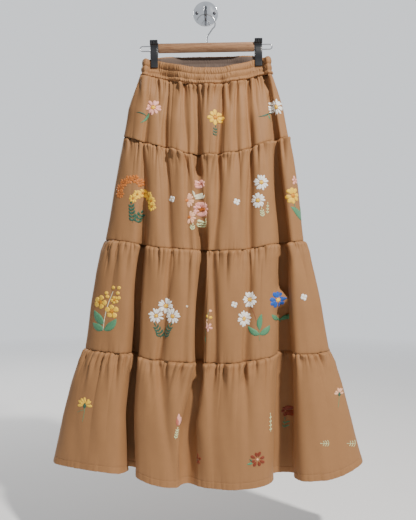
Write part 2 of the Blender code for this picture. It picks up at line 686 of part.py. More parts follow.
def make_wall_hook():
    """The round plate on the wall, its two screws, and the prong that carries the hanger."""
    rim, face, middle = PLATE_RADIUS, -PLATE_THICKNESS, -PLATE_THICKNESS - PLATE_DOME
    slope = (0.70 * rim, face - 0.55 * PLATE_DOME)
    dome = ((rim - PLATE_CHAMFER, face), slope, (0.35 * rim, middle), (0.0, middle))
    edge = ((0.0, 0.0), (rim, 0.0), (rim, face + PLATE_CHAMFER))
    turned("wall_plate", (*edge, *dome), "chrome", segments=32)
    radii, heights = np.array(dome[::-1]).T
    seat = np.interp(SCREW_X - SCREW_RADIUS, radii, heights) - SEAT_GAP
    shoulder = (0.7 * SCREW_RADIUS, seat - 0.8 * SCREW_HEAD)
    head = ((0.0, seat), (SCREW_RADIUS, seat), shoulder, (0.0, seat - SCREW_HEAD))
    for side, x in (("left", -SCREW_X), ("right", SCREW_X)):
        screw = turned(f"screw_{side}", head, "dark_steel", segments=12)
        screw.location = (x, 0.0, SCREW_Z)
    start = middle - SEAT_GAP
    neck = [(0.0, start - out, PRONG_ROOT + up) for out, up in PRONG_NECK]
    bend = [(0.0, HANGER_Y - out, PRONG_LOW + up) for out, up in PRONG_BEND]
    route = smooth_route(((0.0, start, PRONG_ROOT), *neck, *bend), 17)
    wire("wall_prong", route, PRONG_RADIUS, "chrome")


def main():
    """Builds the wall hook, the hanger with its clips, and the skirt."""
    clear_scene()
    crown = bpy.data.objects.new("hook_crown", None)
    bpy.context.scene.collection.objects.link(crown)
    crown_height = PRONG_LOW + PRONG_RADIUS + SEAT_GAP + HOOK_WIRE / 2
    crown.location = (0.0, HANGER_Y, crown_height)
    crown.rotation_euler = (0.0, -HANGER_LEAN, 0.0)
    make_wall_hook()
    make_hanger(crown)
    make_clips(crown)
    make_waistband()
    for tier in range(len(TIERS)):
        make_tier_panel(tier, True)
        make_tier_panel(tier, False)


main()
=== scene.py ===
"""The looks of a tiered maxi skirt that hangs from a clip hanger on a wall hook.

Metres, +Z up. The origin is the centre of the wall plate's back face, +X is to the right
as seen from the front, and the skirt's front faces -Y.

The cloth is worked out as surfaces of two parameters. A level number names a height on
it: 0 is the top of the waistband, 1 the waist seam, 2, 3 and 4 the seams between tiers,
and 5 the hem. Each panel is a thin shell with gathers below the seam above it and with
soft troughs where the photograph shows them. The needlework is laid on those surfaces.
"""

from __future__ import annotations

import logging
import math
from dataclasses import dataclass, field
from enum import Enum

import bpy
import numpy as np
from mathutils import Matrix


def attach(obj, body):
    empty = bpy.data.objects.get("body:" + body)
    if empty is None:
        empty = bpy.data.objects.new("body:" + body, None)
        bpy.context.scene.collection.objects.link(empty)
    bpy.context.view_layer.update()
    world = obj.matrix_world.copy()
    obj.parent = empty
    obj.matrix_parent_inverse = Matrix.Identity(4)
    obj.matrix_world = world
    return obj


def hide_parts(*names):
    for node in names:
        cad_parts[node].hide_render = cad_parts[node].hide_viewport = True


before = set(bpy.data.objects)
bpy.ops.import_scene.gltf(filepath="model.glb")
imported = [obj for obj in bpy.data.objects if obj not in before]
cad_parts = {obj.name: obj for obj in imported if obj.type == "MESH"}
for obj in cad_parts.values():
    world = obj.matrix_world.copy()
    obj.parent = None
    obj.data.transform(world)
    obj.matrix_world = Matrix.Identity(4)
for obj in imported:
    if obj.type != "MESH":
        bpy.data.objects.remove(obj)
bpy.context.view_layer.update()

LOG = logging.getLogger("skirt")

Array = np.ndarray
Point = tuple[float, float]
Place = tuple[float, float, float]
Colour = tuple[float, float, float]
Piece = bpy.types.Object
Material = bpy.types.Material
Tree = bpy.types.NodeTree
Node = bpy.types.Node
Socket = bpy.types.NodeSocket

# The skirt's sections, from the waist down to the hem
SECTION_COLUMNS = ("level", "centre_x", "half_width", "front", "back", "centre_y", "pinch")
SECTIONS = (
    (0.00, 0.0030, 0.1575, 0.038, 0.017, -0.0420, 1.00),
    (0.70, 0.0028, 0.1600, 0.044, 0.020, -0.0420, 1.00),
    (1.00, 0.0025, 0.1635, 0.047, 0.022, -0.0425, 0.72),
    (1.25, 0.0018, 0.1780, 0.056, 0.027, -0.0440, 0.34),
    (1.55, 0.0012, 0.1925, 0.062, 0.031, -0.0460, 0.08),
    (2.00, 0.0020, 0.2045, 0.067, 0.034, -0.0480, 0.00),
    (2.20, 0.0018, 0.2150, 0.074, 0.036, -0.0490, 0.00),
    (2.50, 0.0020, 0.2280, 0.079, 0.038, -0.0505, 0.00),
    (3.00, -0.0020, 0.2450, 0.083, 0.039, -0.0520, 0.00),
    (3.10, -0.0020, 0.2560, 0.089, 0.040, -0.0525, 0.00),
    (3.30, -0.0010, 0.2700, 0.093, 0.041, -0.0530, 0.00),
    (3.60, 0.0015, 0.2850, 0.096, 0.042, -0.0540, 0.00),
    (4.00, 0.0040, 0.3010, 0.097, 0.043, -0.0550, 0.00),
    (4.10, 0.0040, 0.3160, 0.104, 0.044, -0.0555, 0.00),
    (4.30, 0.0030, 0.3340, 0.108, 0.045, -0.0560, 0.00),
    (4.60, 0.0030, 0.3550, 0.112, 0.046, -0.0570, 0.00),
    (5.00, 0.0060, 0.3800, 0.115, 0.047, -0.0580, 0.00),
)

# Height of each seam line at the side seams, and how far its front hangs below that at
# stations across the front, from the left side seam (-1) to the right one (+1)
SIDE_HEIGHT = (-0.1315, -0.1715, -0.3265, -0.5820, -0.8500, -1.1240)
STATIONS = (-1.0, -0.8, -0.6, -0.45, -0.25, 0.0, 0.25, 0.45, 0.6, 0.8, 1.0)
FRONT_DROP = (
    (-0.004, 0.000, 0.010, 0.019, 0.027, 0.030, 0.029, 0.021, 0.012, 0.000, -0.004),
    (0.000, 0.003, 0.013, 0.020, 0.028, 0.031, 0.029, 0.021, 0.014, 0.003, 0.000),
    (0.000, 0.015, 0.027, 0.033, 0.046, 0.050, 0.046, 0.038, 0.026, 0.012, 0.000),
    (0.000, 0.004, 0.013, 0.019, 0.022, 0.026, 0.026, 0.022, 0.014, 0.007, 0.002),
    (-0.003, 0.001, 0.006, 0.015, 0.020, 0.024, 0.022, 0.013, 0.006, 0.006, 0.003),
    (0.000, 0.000, 0.006, 0.018, 0.034, 0.038, 0.037, 0.030, 0.028, 0.022, 0.000),
)
BACK_RISE = (0.0125, 0.0100, 0.0030, 0.0010, 0.0000, 0.0000)
LEAN_SHARE = (1.0, 1.0, 0.0, 0.0, 0.0, 0.0)
HEM_LINE = len(SIDE_HEIGHT) - 1

# Where the hanger hangs and how far it leans, the height of its hook's crown, and where
# its clips' pads hold the waistband
HANGER_Y = -0.042
HANGER_LEAN = math.radians(1.05)
CROWN_HEIGHT = -0.0159
CLIP_X = 0.1304
PAD_HEIGHT = -0.149
PAD_SHIFT = -math.tan(HANGER_LEAN) * PAD_HEIGHT
WAIST_PAD = 0.0033

# The levels at which a fold's values are given, and the points of a fine half section
FOLD_LEVELS = (1.0, 2.0, 3.0, 4.0, 4.5, 5.0)
FINE = 901


class Side(Enum):
    """A half of the skirt: its column in SECTIONS, its direction in Y and its roundness."""

    FRONT = ("front", -1.0, 0.80)
    BACK = ("back", 1.0, 0.70)

    @property
    def column(self) -> str:
        """The column of SECTIONS that holds this half's depth."""
        return self.value[0]

    @property
    def sign(self) -> float:
        """-1 for the front and 1 for the back."""
        return self.value[1]

    @property
    def roundness(self) -> float:
        """The power that rounds the half section: lower is boxier."""
        return self.value[2]


def at_level(values: tuple[float, ...], level: Array | float) -> Array:
    """Values given at FOLD_LEVELS, read at some levels."""
    return np.interp(level, FOLD_LEVELS, values)


@dataclass(frozen=True)
class Fold:
    """A drape fold that runs down the skirt, with its values at FOLD_LEVELS.

    The slope is how much deeper the cloth on the fold's right starts, and the reach is how
    far that goes on. A firm fold stays sharp from seam to seam.
    """

    x: tuple[float, ...]
    depth: tuple[float, ...]
    width: tuple[float, ...]
    floor: tuple[float, ...] = (0.003,) * 6
    slope: tuple[float, ...] = (0.0,) * 6
    reach: tuple[float, ...] = (0.03,) * 6
    firm: bool = False

    def slot(self, x: Array, level: Array) -> tuple[Array, Array, Array]:
        """The fold's narrow slot: exp of minus distance over width to the power 1.5.

        The distance is counted from a round floor: it is the root of the sum of the squares
        of the distance and the floor, less the floor.

        Args:
            x: Where it is read.
            level: The level of each row of x.

        Returns:
            How far right of the fold x lies, the fold's width, and the slot from 0 to 1.
        """
        width, floor = at_level(self.width, level), at_level(self.floor, level)
        distance = x - at_level(self.x, level)
        from_floor = np.sqrt(distance**2 + floor**2) - floor
        return distance, width, np.exp(-((from_floor / width) ** 1.5))


FRONT_FOLDS = (
    Fold(
        x=(-0.136, -0.148, -0.153, -0.171, -0.178, -0.177),
        depth=(0.003, 0.010, 0.030, 0.055, 0.068, 0.074),
        width=(0.006, 0.007, 0.008, 0.009, 0.010, 0.011),
        floor=(0.003, 0.003, 0.003, 0.003, 0.004, 0.004),
        slope=(0.000, 0.004, 0.006, 0.007, 0.006, 0.004),
    ),
    Fold(
        x=(-0.092, -0.100, -0.084, -0.110, -0.094, -0.072),
        depth=(0.008, 0.012, 0.007, 0.008, 0.004, 0.004),
        width=(0.006, 0.008, 0.009, 0.010, 0.016, 0.020),
        slope=(0.003, 0.007, 0.003, 0.006, 0.003, 0.000),
    ),
    Fold(
        x=(-0.052, -0.046, -0.040, -0.050, -0.074, -0.085),
        depth=(0.005, 0.006, 0.005, 0.003, 0.000, 0.000),
        width=(0.006, 0.007, 0.008, 0.010, 0.014, 0.014),
        slope=(0.003, 0.003, 0.003, 0.000, 0.000, 0.000),
    ),
    Fold(
        x=(-0.022, -0.020, -0.011, -0.021, -0.052, -0.048),
        depth=(0.006, 0.016, 0.030, 0.034, 0.020, 0.010),
        width=(0.006, 0.008, 0.0052, 0.0046, 0.007, 0.018),
        floor=(0.003, 0.003, 0.002, 0.002, 0.002, 0.003),
        slope=(0.002, 0.008, 0.014, 0.018, 0.038, 0.038),
        reach=(0.020, 0.030, 0.046, 0.075, 0.150, 0.150),
    ),
    Fold(
        x=(0.038, 0.032, 0.020, 0.018, 0.020, 0.020),
        depth=(0.010, 0.012, 0.008, 0.008, 0.002, 0.000),
        width=(0.006, 0.007, 0.008, 0.009, 0.014, 0.014),
        slope=(0.004, 0.008, 0.004, 0.008, 0.002, 0.000),
        reach=(0.022, 0.026, 0.030, 0.036, 0.050, 0.050),
    ),
    Fold(
        x=(0.074, 0.076, 0.076, 0.076, 0.076, 0.076),
        depth=(0.009, 0.006, 0.001, 0.000, 0.000, 0.000),
        width=(0.006, 0.007, 0.010, 0.010, 0.010, 0.010),
        slope=(0.004, 0.002, 0.000, 0.000, 0.000, 0.000),
    ),
    Fold(
        x=(0.104, 0.107, 0.104, 0.094, 0.096, 0.098),
        depth=(0.012, 0.014, 0.010, 0.008, 0.003, 0.002),
        width=(0.006, 0.007, 0.009, 0.010, 0.016, 0.020),
        slope=(0.004, 0.008, 0.005, 0.005, 0.002, 0.000),
    ),
    Fold(
        x=(0.148, 0.170, 0.189, 0.191, 0.190, 0.190),
        depth=(0.010, 0.022, 0.048, 0.070, 0.078, 0.084),
        width=(0.006, 0.008, 0.010, 0.013, 0.016, 0.018),
        floor=(0.003, 0.003, 0.005, 0.009, 0.0135, 0.015),
        slope=(0.006, 0.014, 0.014, 0.008, 0.006, 0.004),
        firm=True,
    ),
)


def smooth_step(low: float, high: float, at: Array | float) -> Array:
    """0 below low, 1 above high, and an S curve between them."""
    share = np.clip((np.asarray(at, float) - low) / (high - low), 0.0, 1.0)
    return share * share * (3.0 - 2.0 * share)


def curve_through(stations: tuple[float, ...], heights: tuple[float, ...], at: Array) -> Array:
    """A smooth curve through points, with each slope taken from its neighbours.

    Args:
        stations: Where the points lie, in rising order.
        heights: The value at each of them.
        at: Where the curve is read.

    Returns:
        Cubic Hermite values, of the shape of at.
    """
    place, value = np.asarray(stations), np.asarray(heights)
    slopes = np.gradient(value, place)
    index = np.clip(np.searchsorted(place, at) - 1, 0, len(place) - 2)
    span = place[index + 1] - place[index]
    share = (at - place[index]) / span
    rising = smooth_step(0.0, 1.0, share)
    start_slope = share * (1.0 - share) ** 2 * span * slopes[index]
    end_slope = share**2 * (share - 1.0) * span * slopes[index + 1]
    return value[index] * (1.0 - rising) + value[index + 1] * rising + start_slope + end_slope


def packed(*axes: Array) -> Array:
    """Vectors from arrays of their coordinates, which are first brought to one shape."""
    return np.stack(np.broadcast_arrays(*axes), axis=-1)


def turns(sides: int, first: float = 0.5) -> Array:
    """Angles in even steps all round, the first of them that share of a step from 0."""
    return 2.0 * math.pi * (np.arange(sides) + first) / sides


def interp_rows(at: Array, places: Array, values: Array) -> Array:
    """Reads each row of values, given at places from 0 to 1, at the same row of at.

    The rows are laid end to end, 2 apart so that they stay in order, and read in one pass.

    Args:
        at: Where to read, from 0 to 1, one row for each row of places.
        places: Rising places from 0 to 1 in each row.
        values: The value at each place.

    Returns:
        Linear values, of the shape of at.
    """
    shift = 2.0 * np.arange(len(places))[:, None]
    at = np.broadcast_to(at, (len(places), np.shape(at)[-1]))
    flat = np.interp((at + shift).ravel(), (places + shift).ravel(), values.ravel())
    return flat.reshape(at.shape)


def along(points: Array) -> Array:
    """Length along each row of points, shape (rows, columns, axes), from its start."""
    steps = np.linalg.norm(np.diff(points, axis=1), axis=-1)
    return np.concatenate([np.zeros((len(points), 1)), np.cumsum(steps, axis=1)], axis=1)


def level_outward(x: Array, y: Array) -> tuple[Array, Array]:
    """Level unit directions to the right-hand side of rows of points that run left to right."""
    step_x, step_y = np.gradient(x, axis=1), np.gradient(y, axis=1)
    length = np.hypot(step_x, step_y)
    return step_y / length, -step_x / length


@dataclass(frozen=True)
class SkirtForm:
    """The draped form of the skirt, before its gathers."""

    fold_shoulder: float = 0.30
    shoulder_width: float = 3.2
    clipped_half: float = 0.0125
    inner_fade: float = 0.060
    outer_fade: float = 0.011
    largest_press: float = 0.75
    back_fold_count: int = 9
    back_spread: float = 0.92
    back_depth: tuple[float, ...] = (0.004, 0.009, 0.013, 0.018, 0.021, 0.023)
    back_width: tuple[float, ...] = (0.006, 0.008, 0.010, 0.012, 0.013, 0.015)

    def at(self, column: str, level: Array | float) -> Array:
        """A column of SECTIONS at some levels."""
        place = SECTION_COLUMNS.index(column)
        return np.interp(level, [row[0] for row in SECTIONS], [row[place] for row in SECTIONS])

    def pinch(self, x: Array) -> Array:
        """1 where the clips press the waistband flat, falling to 0 on both sides of them."""
        inward = CLIP_X - np.abs(x - PAD_SHIFT)
        inner = 1.0 - smooth_step(self.clipped_half, self.clipped_half + self.inner_fade, inward)
        outer = 1.0 - smooth_step(self.clipped_half, self.clipped_half + self.outer_fade, -inward)
        return np.where(inward > 0, inner, outer)

    def folds(self, side: Side) -> tuple[Fold, ...]:
        """The drape folds of one half. The back's are evenly spread, with steady differences."""
        if side is Side.FRONT:
            return FRONT_FOLDS
        folds = []
        for number in range(self.back_fold_count):
            place = (number + 0.5) / self.back_fold_count * 2.0 - 1.0 + 0.05 * math.sin(2.3 * number)
            strength = 0.75 + 0.25 * math.sin(1.7 * number + 0.6)
            spread = self.back_spread * place
            x = tuple(spread * float(self.at("half_width", level)) for level in FOLD_LEVELS)
            folds.append(Fold(x, tuple(strength * depth for depth in self.back_depth), self.back_width))
        return tuple(folds)

    def pressed_in(self, x: Array, across: Array, level: Array, side: Side) -> Array:
        """How far the folds press the cloth in.

        Each fold is its narrow slot on broad soft shoulders, exp of minus the square of
        distance over a few widths. All fade out at the side seams.
        """
        total = np.zeros(np.broadcast_shapes(x.shape, level.shape))
        for fold in self.folds(side):
            distance, width, slot = fold.slot(x, level)
            shoulder = np.exp(-((distance / (self.shoulder_width * width)) ** 2))
            share = (1.0 - self.fold_shoulder) * slot + self.fold_shoulder * shoulder
            total += at_level(fold.depth, level) * share
        return total * (1.0 - across**8) * smooth_step(0.3, 1.0, level)

    def section(self, level: Array, side: Side) -> tuple[Array, Array]:
        """Fine rows of points along one half of the cloth, left to right.

        A half section is a super-ellipse: x goes as the sine of a turn, and its depth as
        the cosine to the power of the side's roundness, less what clips and folds press in.

        Args:
            level: One level for each row.
            side: The half.

        Returns:
            x and y, each of shape (rows, FINE).
        """
        turn = np.linspace(-math.pi / 2, math.pi / 2, FINE)[None, :]
        level = np.asarray(level, float)[:, None]
        across = np.sin(turn)
        half_width = self.at("half_width", level)
        x = self.at("centre_x", level) + half_width * across
        depth = self.at(side.column, level) * np.cos(turn).clip(0) ** side.roundness
        pressed = self.at("pinch", level) * self.pinch(x)
        ends = smooth_step(0.0, WAIST_PAD, half_width * (1.0 - np.abs(across)))
        depth = depth + pressed * (WAIST_PAD * ends - depth)
        folded = self.pressed_in(x, across, level, side) * (1.0 - pressed)
        depth = depth - np.minimum(folded, self.largest_press * depth)
        return x, self.at("centre_y", level) + side.sign * depth

    def line_height(self, line: int, level: Array, x: Array, side: Side) -> Array:
        """Height of a seam line, by its number, at x along one half at a level."""
        across = ((x - self.at("centre_x", level)) / self.at("half_width", level)).clip(-1.0, 1.0)
        height = SIDE_HEIGHT[line] + LEAN_SHARE[line] * math.tan(HANGER_LEAN) * x
        if side is Side.FRONT:
            return height - curve_through(STATIONS, FRONT_DROP[line], across)
        return height + BACK_RISE[line] * (1.0 - across**4)


@dataclass(frozen=True)
class MeshData:
    """Points, faces of equal size and a texture place for each corner."""

    points: Array
    faces: Array
    uv: Array
    finish: Array | None = None


def grid_data(points: Array, uv: Array, closed_rows: bool = False, closed_columns: bool = False) -> MeshData:
    """Squares of a grid of points, with the normal along (next column) x (row before).

    Args:
        points: Shape (rows, columns, 3).
        uv: Shape (rows, columns, 2).
        closed_rows: True if the last row joins the first.
        closed_columns: True if the last column joins the first.

    Returns:
        The mesh's arrays.
    """
    rows, columns = points.shape[:2]
    row = np.arange(rows if closed_rows else rows - 1)[:, None]
    column = np.arange(columns if closed_columns else columns - 1)[None, :]
    below, right = (row + 1) % rows, (column + 1) % columns
    a, b = row * columns + column, row * columns + right
    c, d = below * columns + column, below * columns + right
    faces = packed(a, c, d, b).reshape(-1, 4)
    return MeshData(points.reshape(-1, 3), faces, uv.reshape(-1, 2)[faces].reshape(-1, 2))


def make_mesh(name: str, data: MeshData, materials: list[Material]) -> Piece:
    """Puts arrays into a new smooth mesh object that rides on the part's one body.

    Args:
        name: The piece's name.
        data: Its points, faces, texture places and, if it has several materials, finishes.
        materials: Its materials, which the finishes number.

    Returns:
        The object, linked to the scene.
    """
    mesh = bpy.data.meshes.new(name)
    corners = data.faces.shape[1]
    mesh.vertices.add(len(data.points))
    mesh.vertices.foreach_set("co", data.points.astype(np.float32).ravel())
    mesh.loops.add(data.faces.size)
    mesh.loops.foreach_set("vertex_index", data.faces.astype(np.int32).ravel())
    mesh.polygons.add(len(data.faces))
    mesh.polygons.foreach_set("loop_start", np.arange(0, data.faces.size, corners, dtype=np.int32))
    mesh.uv_layers.new(name="UVMap")
    mesh.uv_layers[0].uv.foreach_set("vector", data.uv.astype(np.float32).ravel())
    for material in materials:
        mesh.materials.append(material)
    if data.finish is not None:
        mesh.polygons.foreach_set("material_index", data.finish.astype(np.int32))
    mesh.update(calc_edges=True)
    mesh.validate()
    mesh.shade_smooth()
    piece = bpy.data.objects.new(name, mesh)
    bpy.context.scene.collection.objects.link(piece)
    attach(piece, "root")
    LOG.info("%s: %d faces", name, len(data.faces))
    return piece


# The size of the small ring that closes a loft's end, as a share of its last ring
END_SHARE = 0.02


def lofts(rings: Array, uv_scale: Array | None = None, finish: Array | None = None) -> MeshData:
    """Closed solids from stacks of rings. Each end runs in to a small ring, closed by squares.

    Args:
        rings: Shape (solids, rings, sides, 3). A ring turns anticlockwise about its path.
        uv_scale: Length and girth of each solid in metres, shape (solids, 2).
        finish: The number of each solid's material.

    Returns:
        The mesh's arrays: a small ring is added inside the first ring and the last one.
    """
    first = np.repeat(rings[:, :1].mean(axis=2, keepdims=True), rings.shape[2], axis=2)
    last = np.repeat(rings[:, -1:].mean(axis=2, keepdims=True), rings.shape[2], axis=2)
    near_first = first + END_SHARE * (rings[:, :1] - first)
    near_last = last + END_SHARE * (rings[:, -1:] - last)
    rings = np.concatenate([near_first, rings, near_last], axis=1)
    count, length, sides = rings.shape[:3]
    solid = np.arange(count)[:, None, None] * length * sides
    ring = np.arange(length - 1)[None, :, None] * sides
    side = np.arange(sides)[None, None, :]
    following = (side + 1) % sides
    a, b = solid + ring + side, solid + ring + following
    faces = packed(a, b, b + sides, a + sides)
    u = packed(side, side + 1, side + 1, side) / sides
    v = packed(ring, ring, ring + sides, ring + sides) / (sides * (length - 1))
    u, v = np.broadcast_arrays(u, v)
    scale = np.ones((count, 2)) if uv_scale is None else uv_scale
    uv = packed(u * scale[:, 1, None, None, None], v * scale[:, 0, None, None, None])
    start, last_ring = solid[:, 0], (length - 1) * sides
    caps = [cap_faces(start, 0, sides, True), cap_faces(start, last_ring, sides, False)]
    cap_squares = sides // 2 - 1
    cap_uv = np.zeros((2 * count * cap_squares * 4, 2))
    numbers = None
    if finish is not None:
        cap_numbers = np.repeat(finish, cap_squares)
        numbers = np.concatenate([np.repeat(finish, last_ring), cap_numbers, cap_numbers])
    all_faces = np.concatenate([faces.reshape(-1, 4), *caps])
    return MeshData(rings.reshape(-1, 3), all_faces, np.concatenate([uv.reshape(-1, 2), cap_uv]), numbers)


def cap_faces(start: Array, ring: int, sides: int, flipped: bool) -> Array:
    """Squares that close a ring of an even number of sides, for each solid's first number."""
    step = np.arange(sides // 2 - 1)
    squares = packed(step, step + 1, sides - 2 - step, sides - 1 - step)
    if flipped:
        squares = squares[:, ::-1]
    return (start[:, None, None] + ring + squares[None]).reshape(-1, 4)


def joined(parts: list[MeshData]) -> MeshData:
    """Several meshes with faces of equal size as one."""
    starts = np.cumsum([0] + [len(part.points) for part in parts[:-1]])
    finish = None
    if parts[0].finish is not None:
        finish = np.concatenate([part.finish for part in parts])
    return MeshData(
        np.concatenate([part.points for part in parts]),
        np.concatenate([part.faces + start for part, start in zip(parts, starts)]),
        np.concatenate([part.uv for part in parts]),
        finish,
    )


@dataclass(frozen=True)
class Trough:
    """A soft hollow that runs down from the seam: its place across, depth, width and length."""

    x: float
    depth: float
    width: float
    reach: float
    drift: float = 0.0


@dataclass(frozen=True)
class TierCut:
    """What a tier's panels are cut and sewn to.

    The flat size is that of each panel as cut. The slackening is how much its folds' creases
    weaken on the way down, and the eased places are those under close needlework. Each
    trough is a row of the values that a Trough has.
    """

    number: int
    height: float
    gather: float
    troughs: tuple[tuple[float, ...], ...]
    flat: Point
    columns: dict[Side, int]
    slackening: float = 0.0
    eased: tuple[Point, ...] = ()
    rows: int = 46

    @property
    def has_hem(self) -> bool:
        """True for the last tier."""
        return self.number + 1 == HEM_LINE


# Each order of gathers: mean spacing, depth, shortest and longest reach.
GATHER_ORDERS = (
    (0.0135, 0.0074, 0.010, 0.036),
    (0.0310, 0.0056, 0.018, 0.070),
    (0.0620, 0.0050, 0.070, 0.200),
)


@dataclass
class TierPanel:
    """The front or back cloth of a tier, as a surface of its column and its row."""

    form: SkirtForm
    cut: TierCut
    side: Side
    thickness: float = 0.0009
    seam_gap: float = 0.0002
    seam_roll: float = 0.0019
    roll_reach: float = 0.0016
    swell: float = 0.0040
    swell_rise: float = 0.008
    swell_reach: float = 0.045
    edge_ease: float = 0.012
    pucker_width: float = 0.0110
    pucker_depth: float = 0.0012
    pucker_reach: float = 0.016
    pinned_depth: float = 0.007
    hem_turn: float = 0.014
    hem_thick: float = 0.0004
    deepest_crease: float = 0.045
    slot_share: float = 0.52
    slot_width: float = 0.40
    lip_share: float = 0.12
    crease_sway: float = 0.0022
    crease_room: float = 0.55
    pinched_share: float = 0.95
    pinched_reach: float = 0.060
    eased_size: Point = (0.024, 0.023)
    held_share: float = 0.70
    points: Array = field(init=False)
    normals: Array = field(init=False)
    shares: Array = field(init=False)
    width: Array = field(init=False)
    base_x: Array = field(init=False)
    base_y: Array = field(init=False)

    def __post_init__(self) -> None:
        """Works out the surface once."""
        self.shares = self.row_shares()
        fine_x, fine_y = self.form.section(self.level[:, 0], self.side)
        length = along(packed(fine_x, fine_y))
        self.width = length[:, -1:]
        share = length / self.width
        across = np.linspace(0.0, 1.0, self.cut.columns[self.side])
        places = self.column_places(across, fine_x, share)
        x, y = interp_rows(places, share, fine_x), interp_rows(places, share, fine_y)
        self.base_x, self.base_y = x, y
        out_x, out_y = self.outward(x, y)
        wave = self.offset(across, x, np.abs(out_y))
        held = self.side.sign * self.held_out(x)
        x, y = x + out_x * wave, y + out_y * wave + held
        self.points = packed(x, y, self.heights(x))
        self.normals = self.surface_normals()

    @property
    def level(self) -> Array:
        """The level of each row, shape (rows, 1)."""
        return (self.cut.number + self.shares)[:, None]

    def row_shares(self) -> Array:
        """Rows down the panel, close together at both seams, as shares of its height.

        The share is half of 1 less the cosine of a turn, with a few rows more at the hem's
        stitching.
        """
        turn = np.linspace(0.0, 1.0, self.cut.rows)
        shares = 0.5 * (1.0 - np.cos(math.pi * turn**1.12))
        if self.cut.has_hem:
            near = np.array((0.0011, 0.0004, -0.0004, -0.0011, -0.0026))
            shares = np.union1d(shares, 1.0 - (self.hem_turn + near) / self.cut.height)
        return shares

    def outward(self, x: Array, y: Array) -> tuple[Array, Array]:
        """Level unit directions out of the skirt, straight out sideways at both side seams."""
        out_x, out_y = level_outward(x, y)
        if self.side is Side.BACK:
            out_x, out_y = -out_x, -out_y
        out_x[:, 0], out_x[:, -1] = -1.0, 1.0
        out_y[:, [0, -1]] = 0.0
        return out_x, out_y

    def column_places(self, across: Array, fine_x: Array, share: Array) -> Array:
        """Where the columns lie along each row, so that they run down the deep folds.

        The bottom of each deep fold keeps its place in the cloth, and the cloth between
        two of them is shared out evenly.

        Args:
            across: The columns' places, from 0 to 1.
            fine_x: x of the fine rows of points.
            share: Their lengths along each row, from 0 to 1.

        Returns:
            The length along each row at which each column lies, from 0 to 1.
        """
        level = self.level[:, 0]
        low, high = fine_x.min() - 0.01, fine_x.max() + 0.01
        fine_place = (fine_x - low) / (high - low)
        knots, fold_shares = [np.zeros(len(level))], [np.zeros(len(level))]
        middle = len(level) // 2
        for fold in self.form.folds(self.side):
            deepest = max(at_level(fold.depth, level[[middle, -1]]))
            if deepest < self.pinned_depth:
                continue
            at = (at_level(fold.x, level) - low) / (high - low)
            place = interp_rows(at[:, None], fine_place, share)[:, 0]
            fold_shares.append(place)
            knots.append(np.full(len(level), place[middle]))
        knots.append(np.ones(len(level)))
        fold_shares.append(np.ones(len(level)))
        return interp_rows(across[None, :], np.stack(knots, axis=1), np.stack(fold_shares, axis=1))

    def offset(self, across: Array, x: Array, facing: Array) -> Array:
        """How far the cloth stands out from the draped form.

        It is a swell under the seam, plus three orders of gathers, less the troughs and the
        creases of the deep folds, plus a faint drift and the puckers above the next seam,
        less the roll of the cloth into its seams. The last tier has its turned hem, thicker
        and with a groove at its stitches. The swell, gathers, troughs, drift and puckers
        are weaker on the steep walls of a fold, where facing is small.

        Args:
            across: The columns' places, from 0 to 1.
            x: x of the draped form at each point.
            facing: How squarely the form faces forwards or back there, from 0 to 1.

        Returns:
            The distance at each point, outwards.
        """
        height = self.cut.height
        below = self.shares[:, None] * height
        above = np.maximum(height - below, 0.0)
        edge = np.minimum(across, 1.0 - across)[None, :] * self.width
        free = smooth_step(0.0, self.edge_ease, edge) * (0.25 + 0.75 * facing)
        rise = smooth_step(0.0, self.swell_rise, below)
        wave = self.swell * rise * np.exp(-below / self.swell_reach) * (0.3 + 0.7 * facing)
        wave = wave + free * (self.gathers(across, below) - self.troughs(x, below))
        wave += free * self.drift(x, below) - self.creases(x)
        roll = np.exp(-((below / self.roll_reach) ** 1.4))
        if self.cut.has_hem:
            turned = 1.0 - smooth_step(self.hem_turn - 0.0008, self.hem_turn + 0.0008, above)
            stitched = np.exp(-(((above - self.hem_turn) / 0.0007) ** 2))
            wave += self.hem_thick * (turned - 1.3 * stitched)
        pucker = self.ripples(across, self.pucker_width, 40 + self.cut.number, self.pucker_depth)[0]
        wave += free * pucker * np.exp(-((above / self.pucker_reach) ** 1.2))
        if not self.cut.has_hem:
            roll = roll + 0.6 * np.exp(-((above / self.roll_reach) ** 1.4))
        side_roll = 0.35 * np.exp(-((edge / self.roll_reach) ** 1.4))
        return wave - self.seam_roll * np.maximum(roll, side_roll)

    def ripples(self, across: Array, spacing: float, seed: int, depth: float,
                power: Array | float = 0.8) -> tuple[Array, Array]:
        """Uneven gathers along a row: round crests with a sharp hollow on both sides.

        A crest is the sine of half a turn to a power: the lower that is, the sharper the
        hollows. Its width and height are drawn at random from a fixed seed.

        Args:
            across: Places along the row, from 0 to 1.
            spacing: The mean width of a gather in metres.
            seed: The seed of the draw.
            depth: About the mean height of a crest.
            power: That power, for all rows or one for each.

        Returns:
            The height at each place, and the number of the crest there.
        """
        draw = np.random.default_rng(seed + 100 * (self.side is Side.BACK))
        count = max(4, round(float(self.width[0, 0]) / spacing))
        steps = draw.uniform(0.45, 1.55, count)
        knots = np.concatenate([[0.0], np.cumsum(steps)]) / steps.sum()
        phase = np.interp(across, knots, np.arange(count + 1))
        crest = np.minimum(phase.astype(int), count - 1)
        strength = depth * draw.uniform(0.30, 1.25, count) ** 1.4 * np.sqrt(steps) * 1.25
        return strength[crest] * np.abs(np.sin(math.pi * phase)) ** power, crest

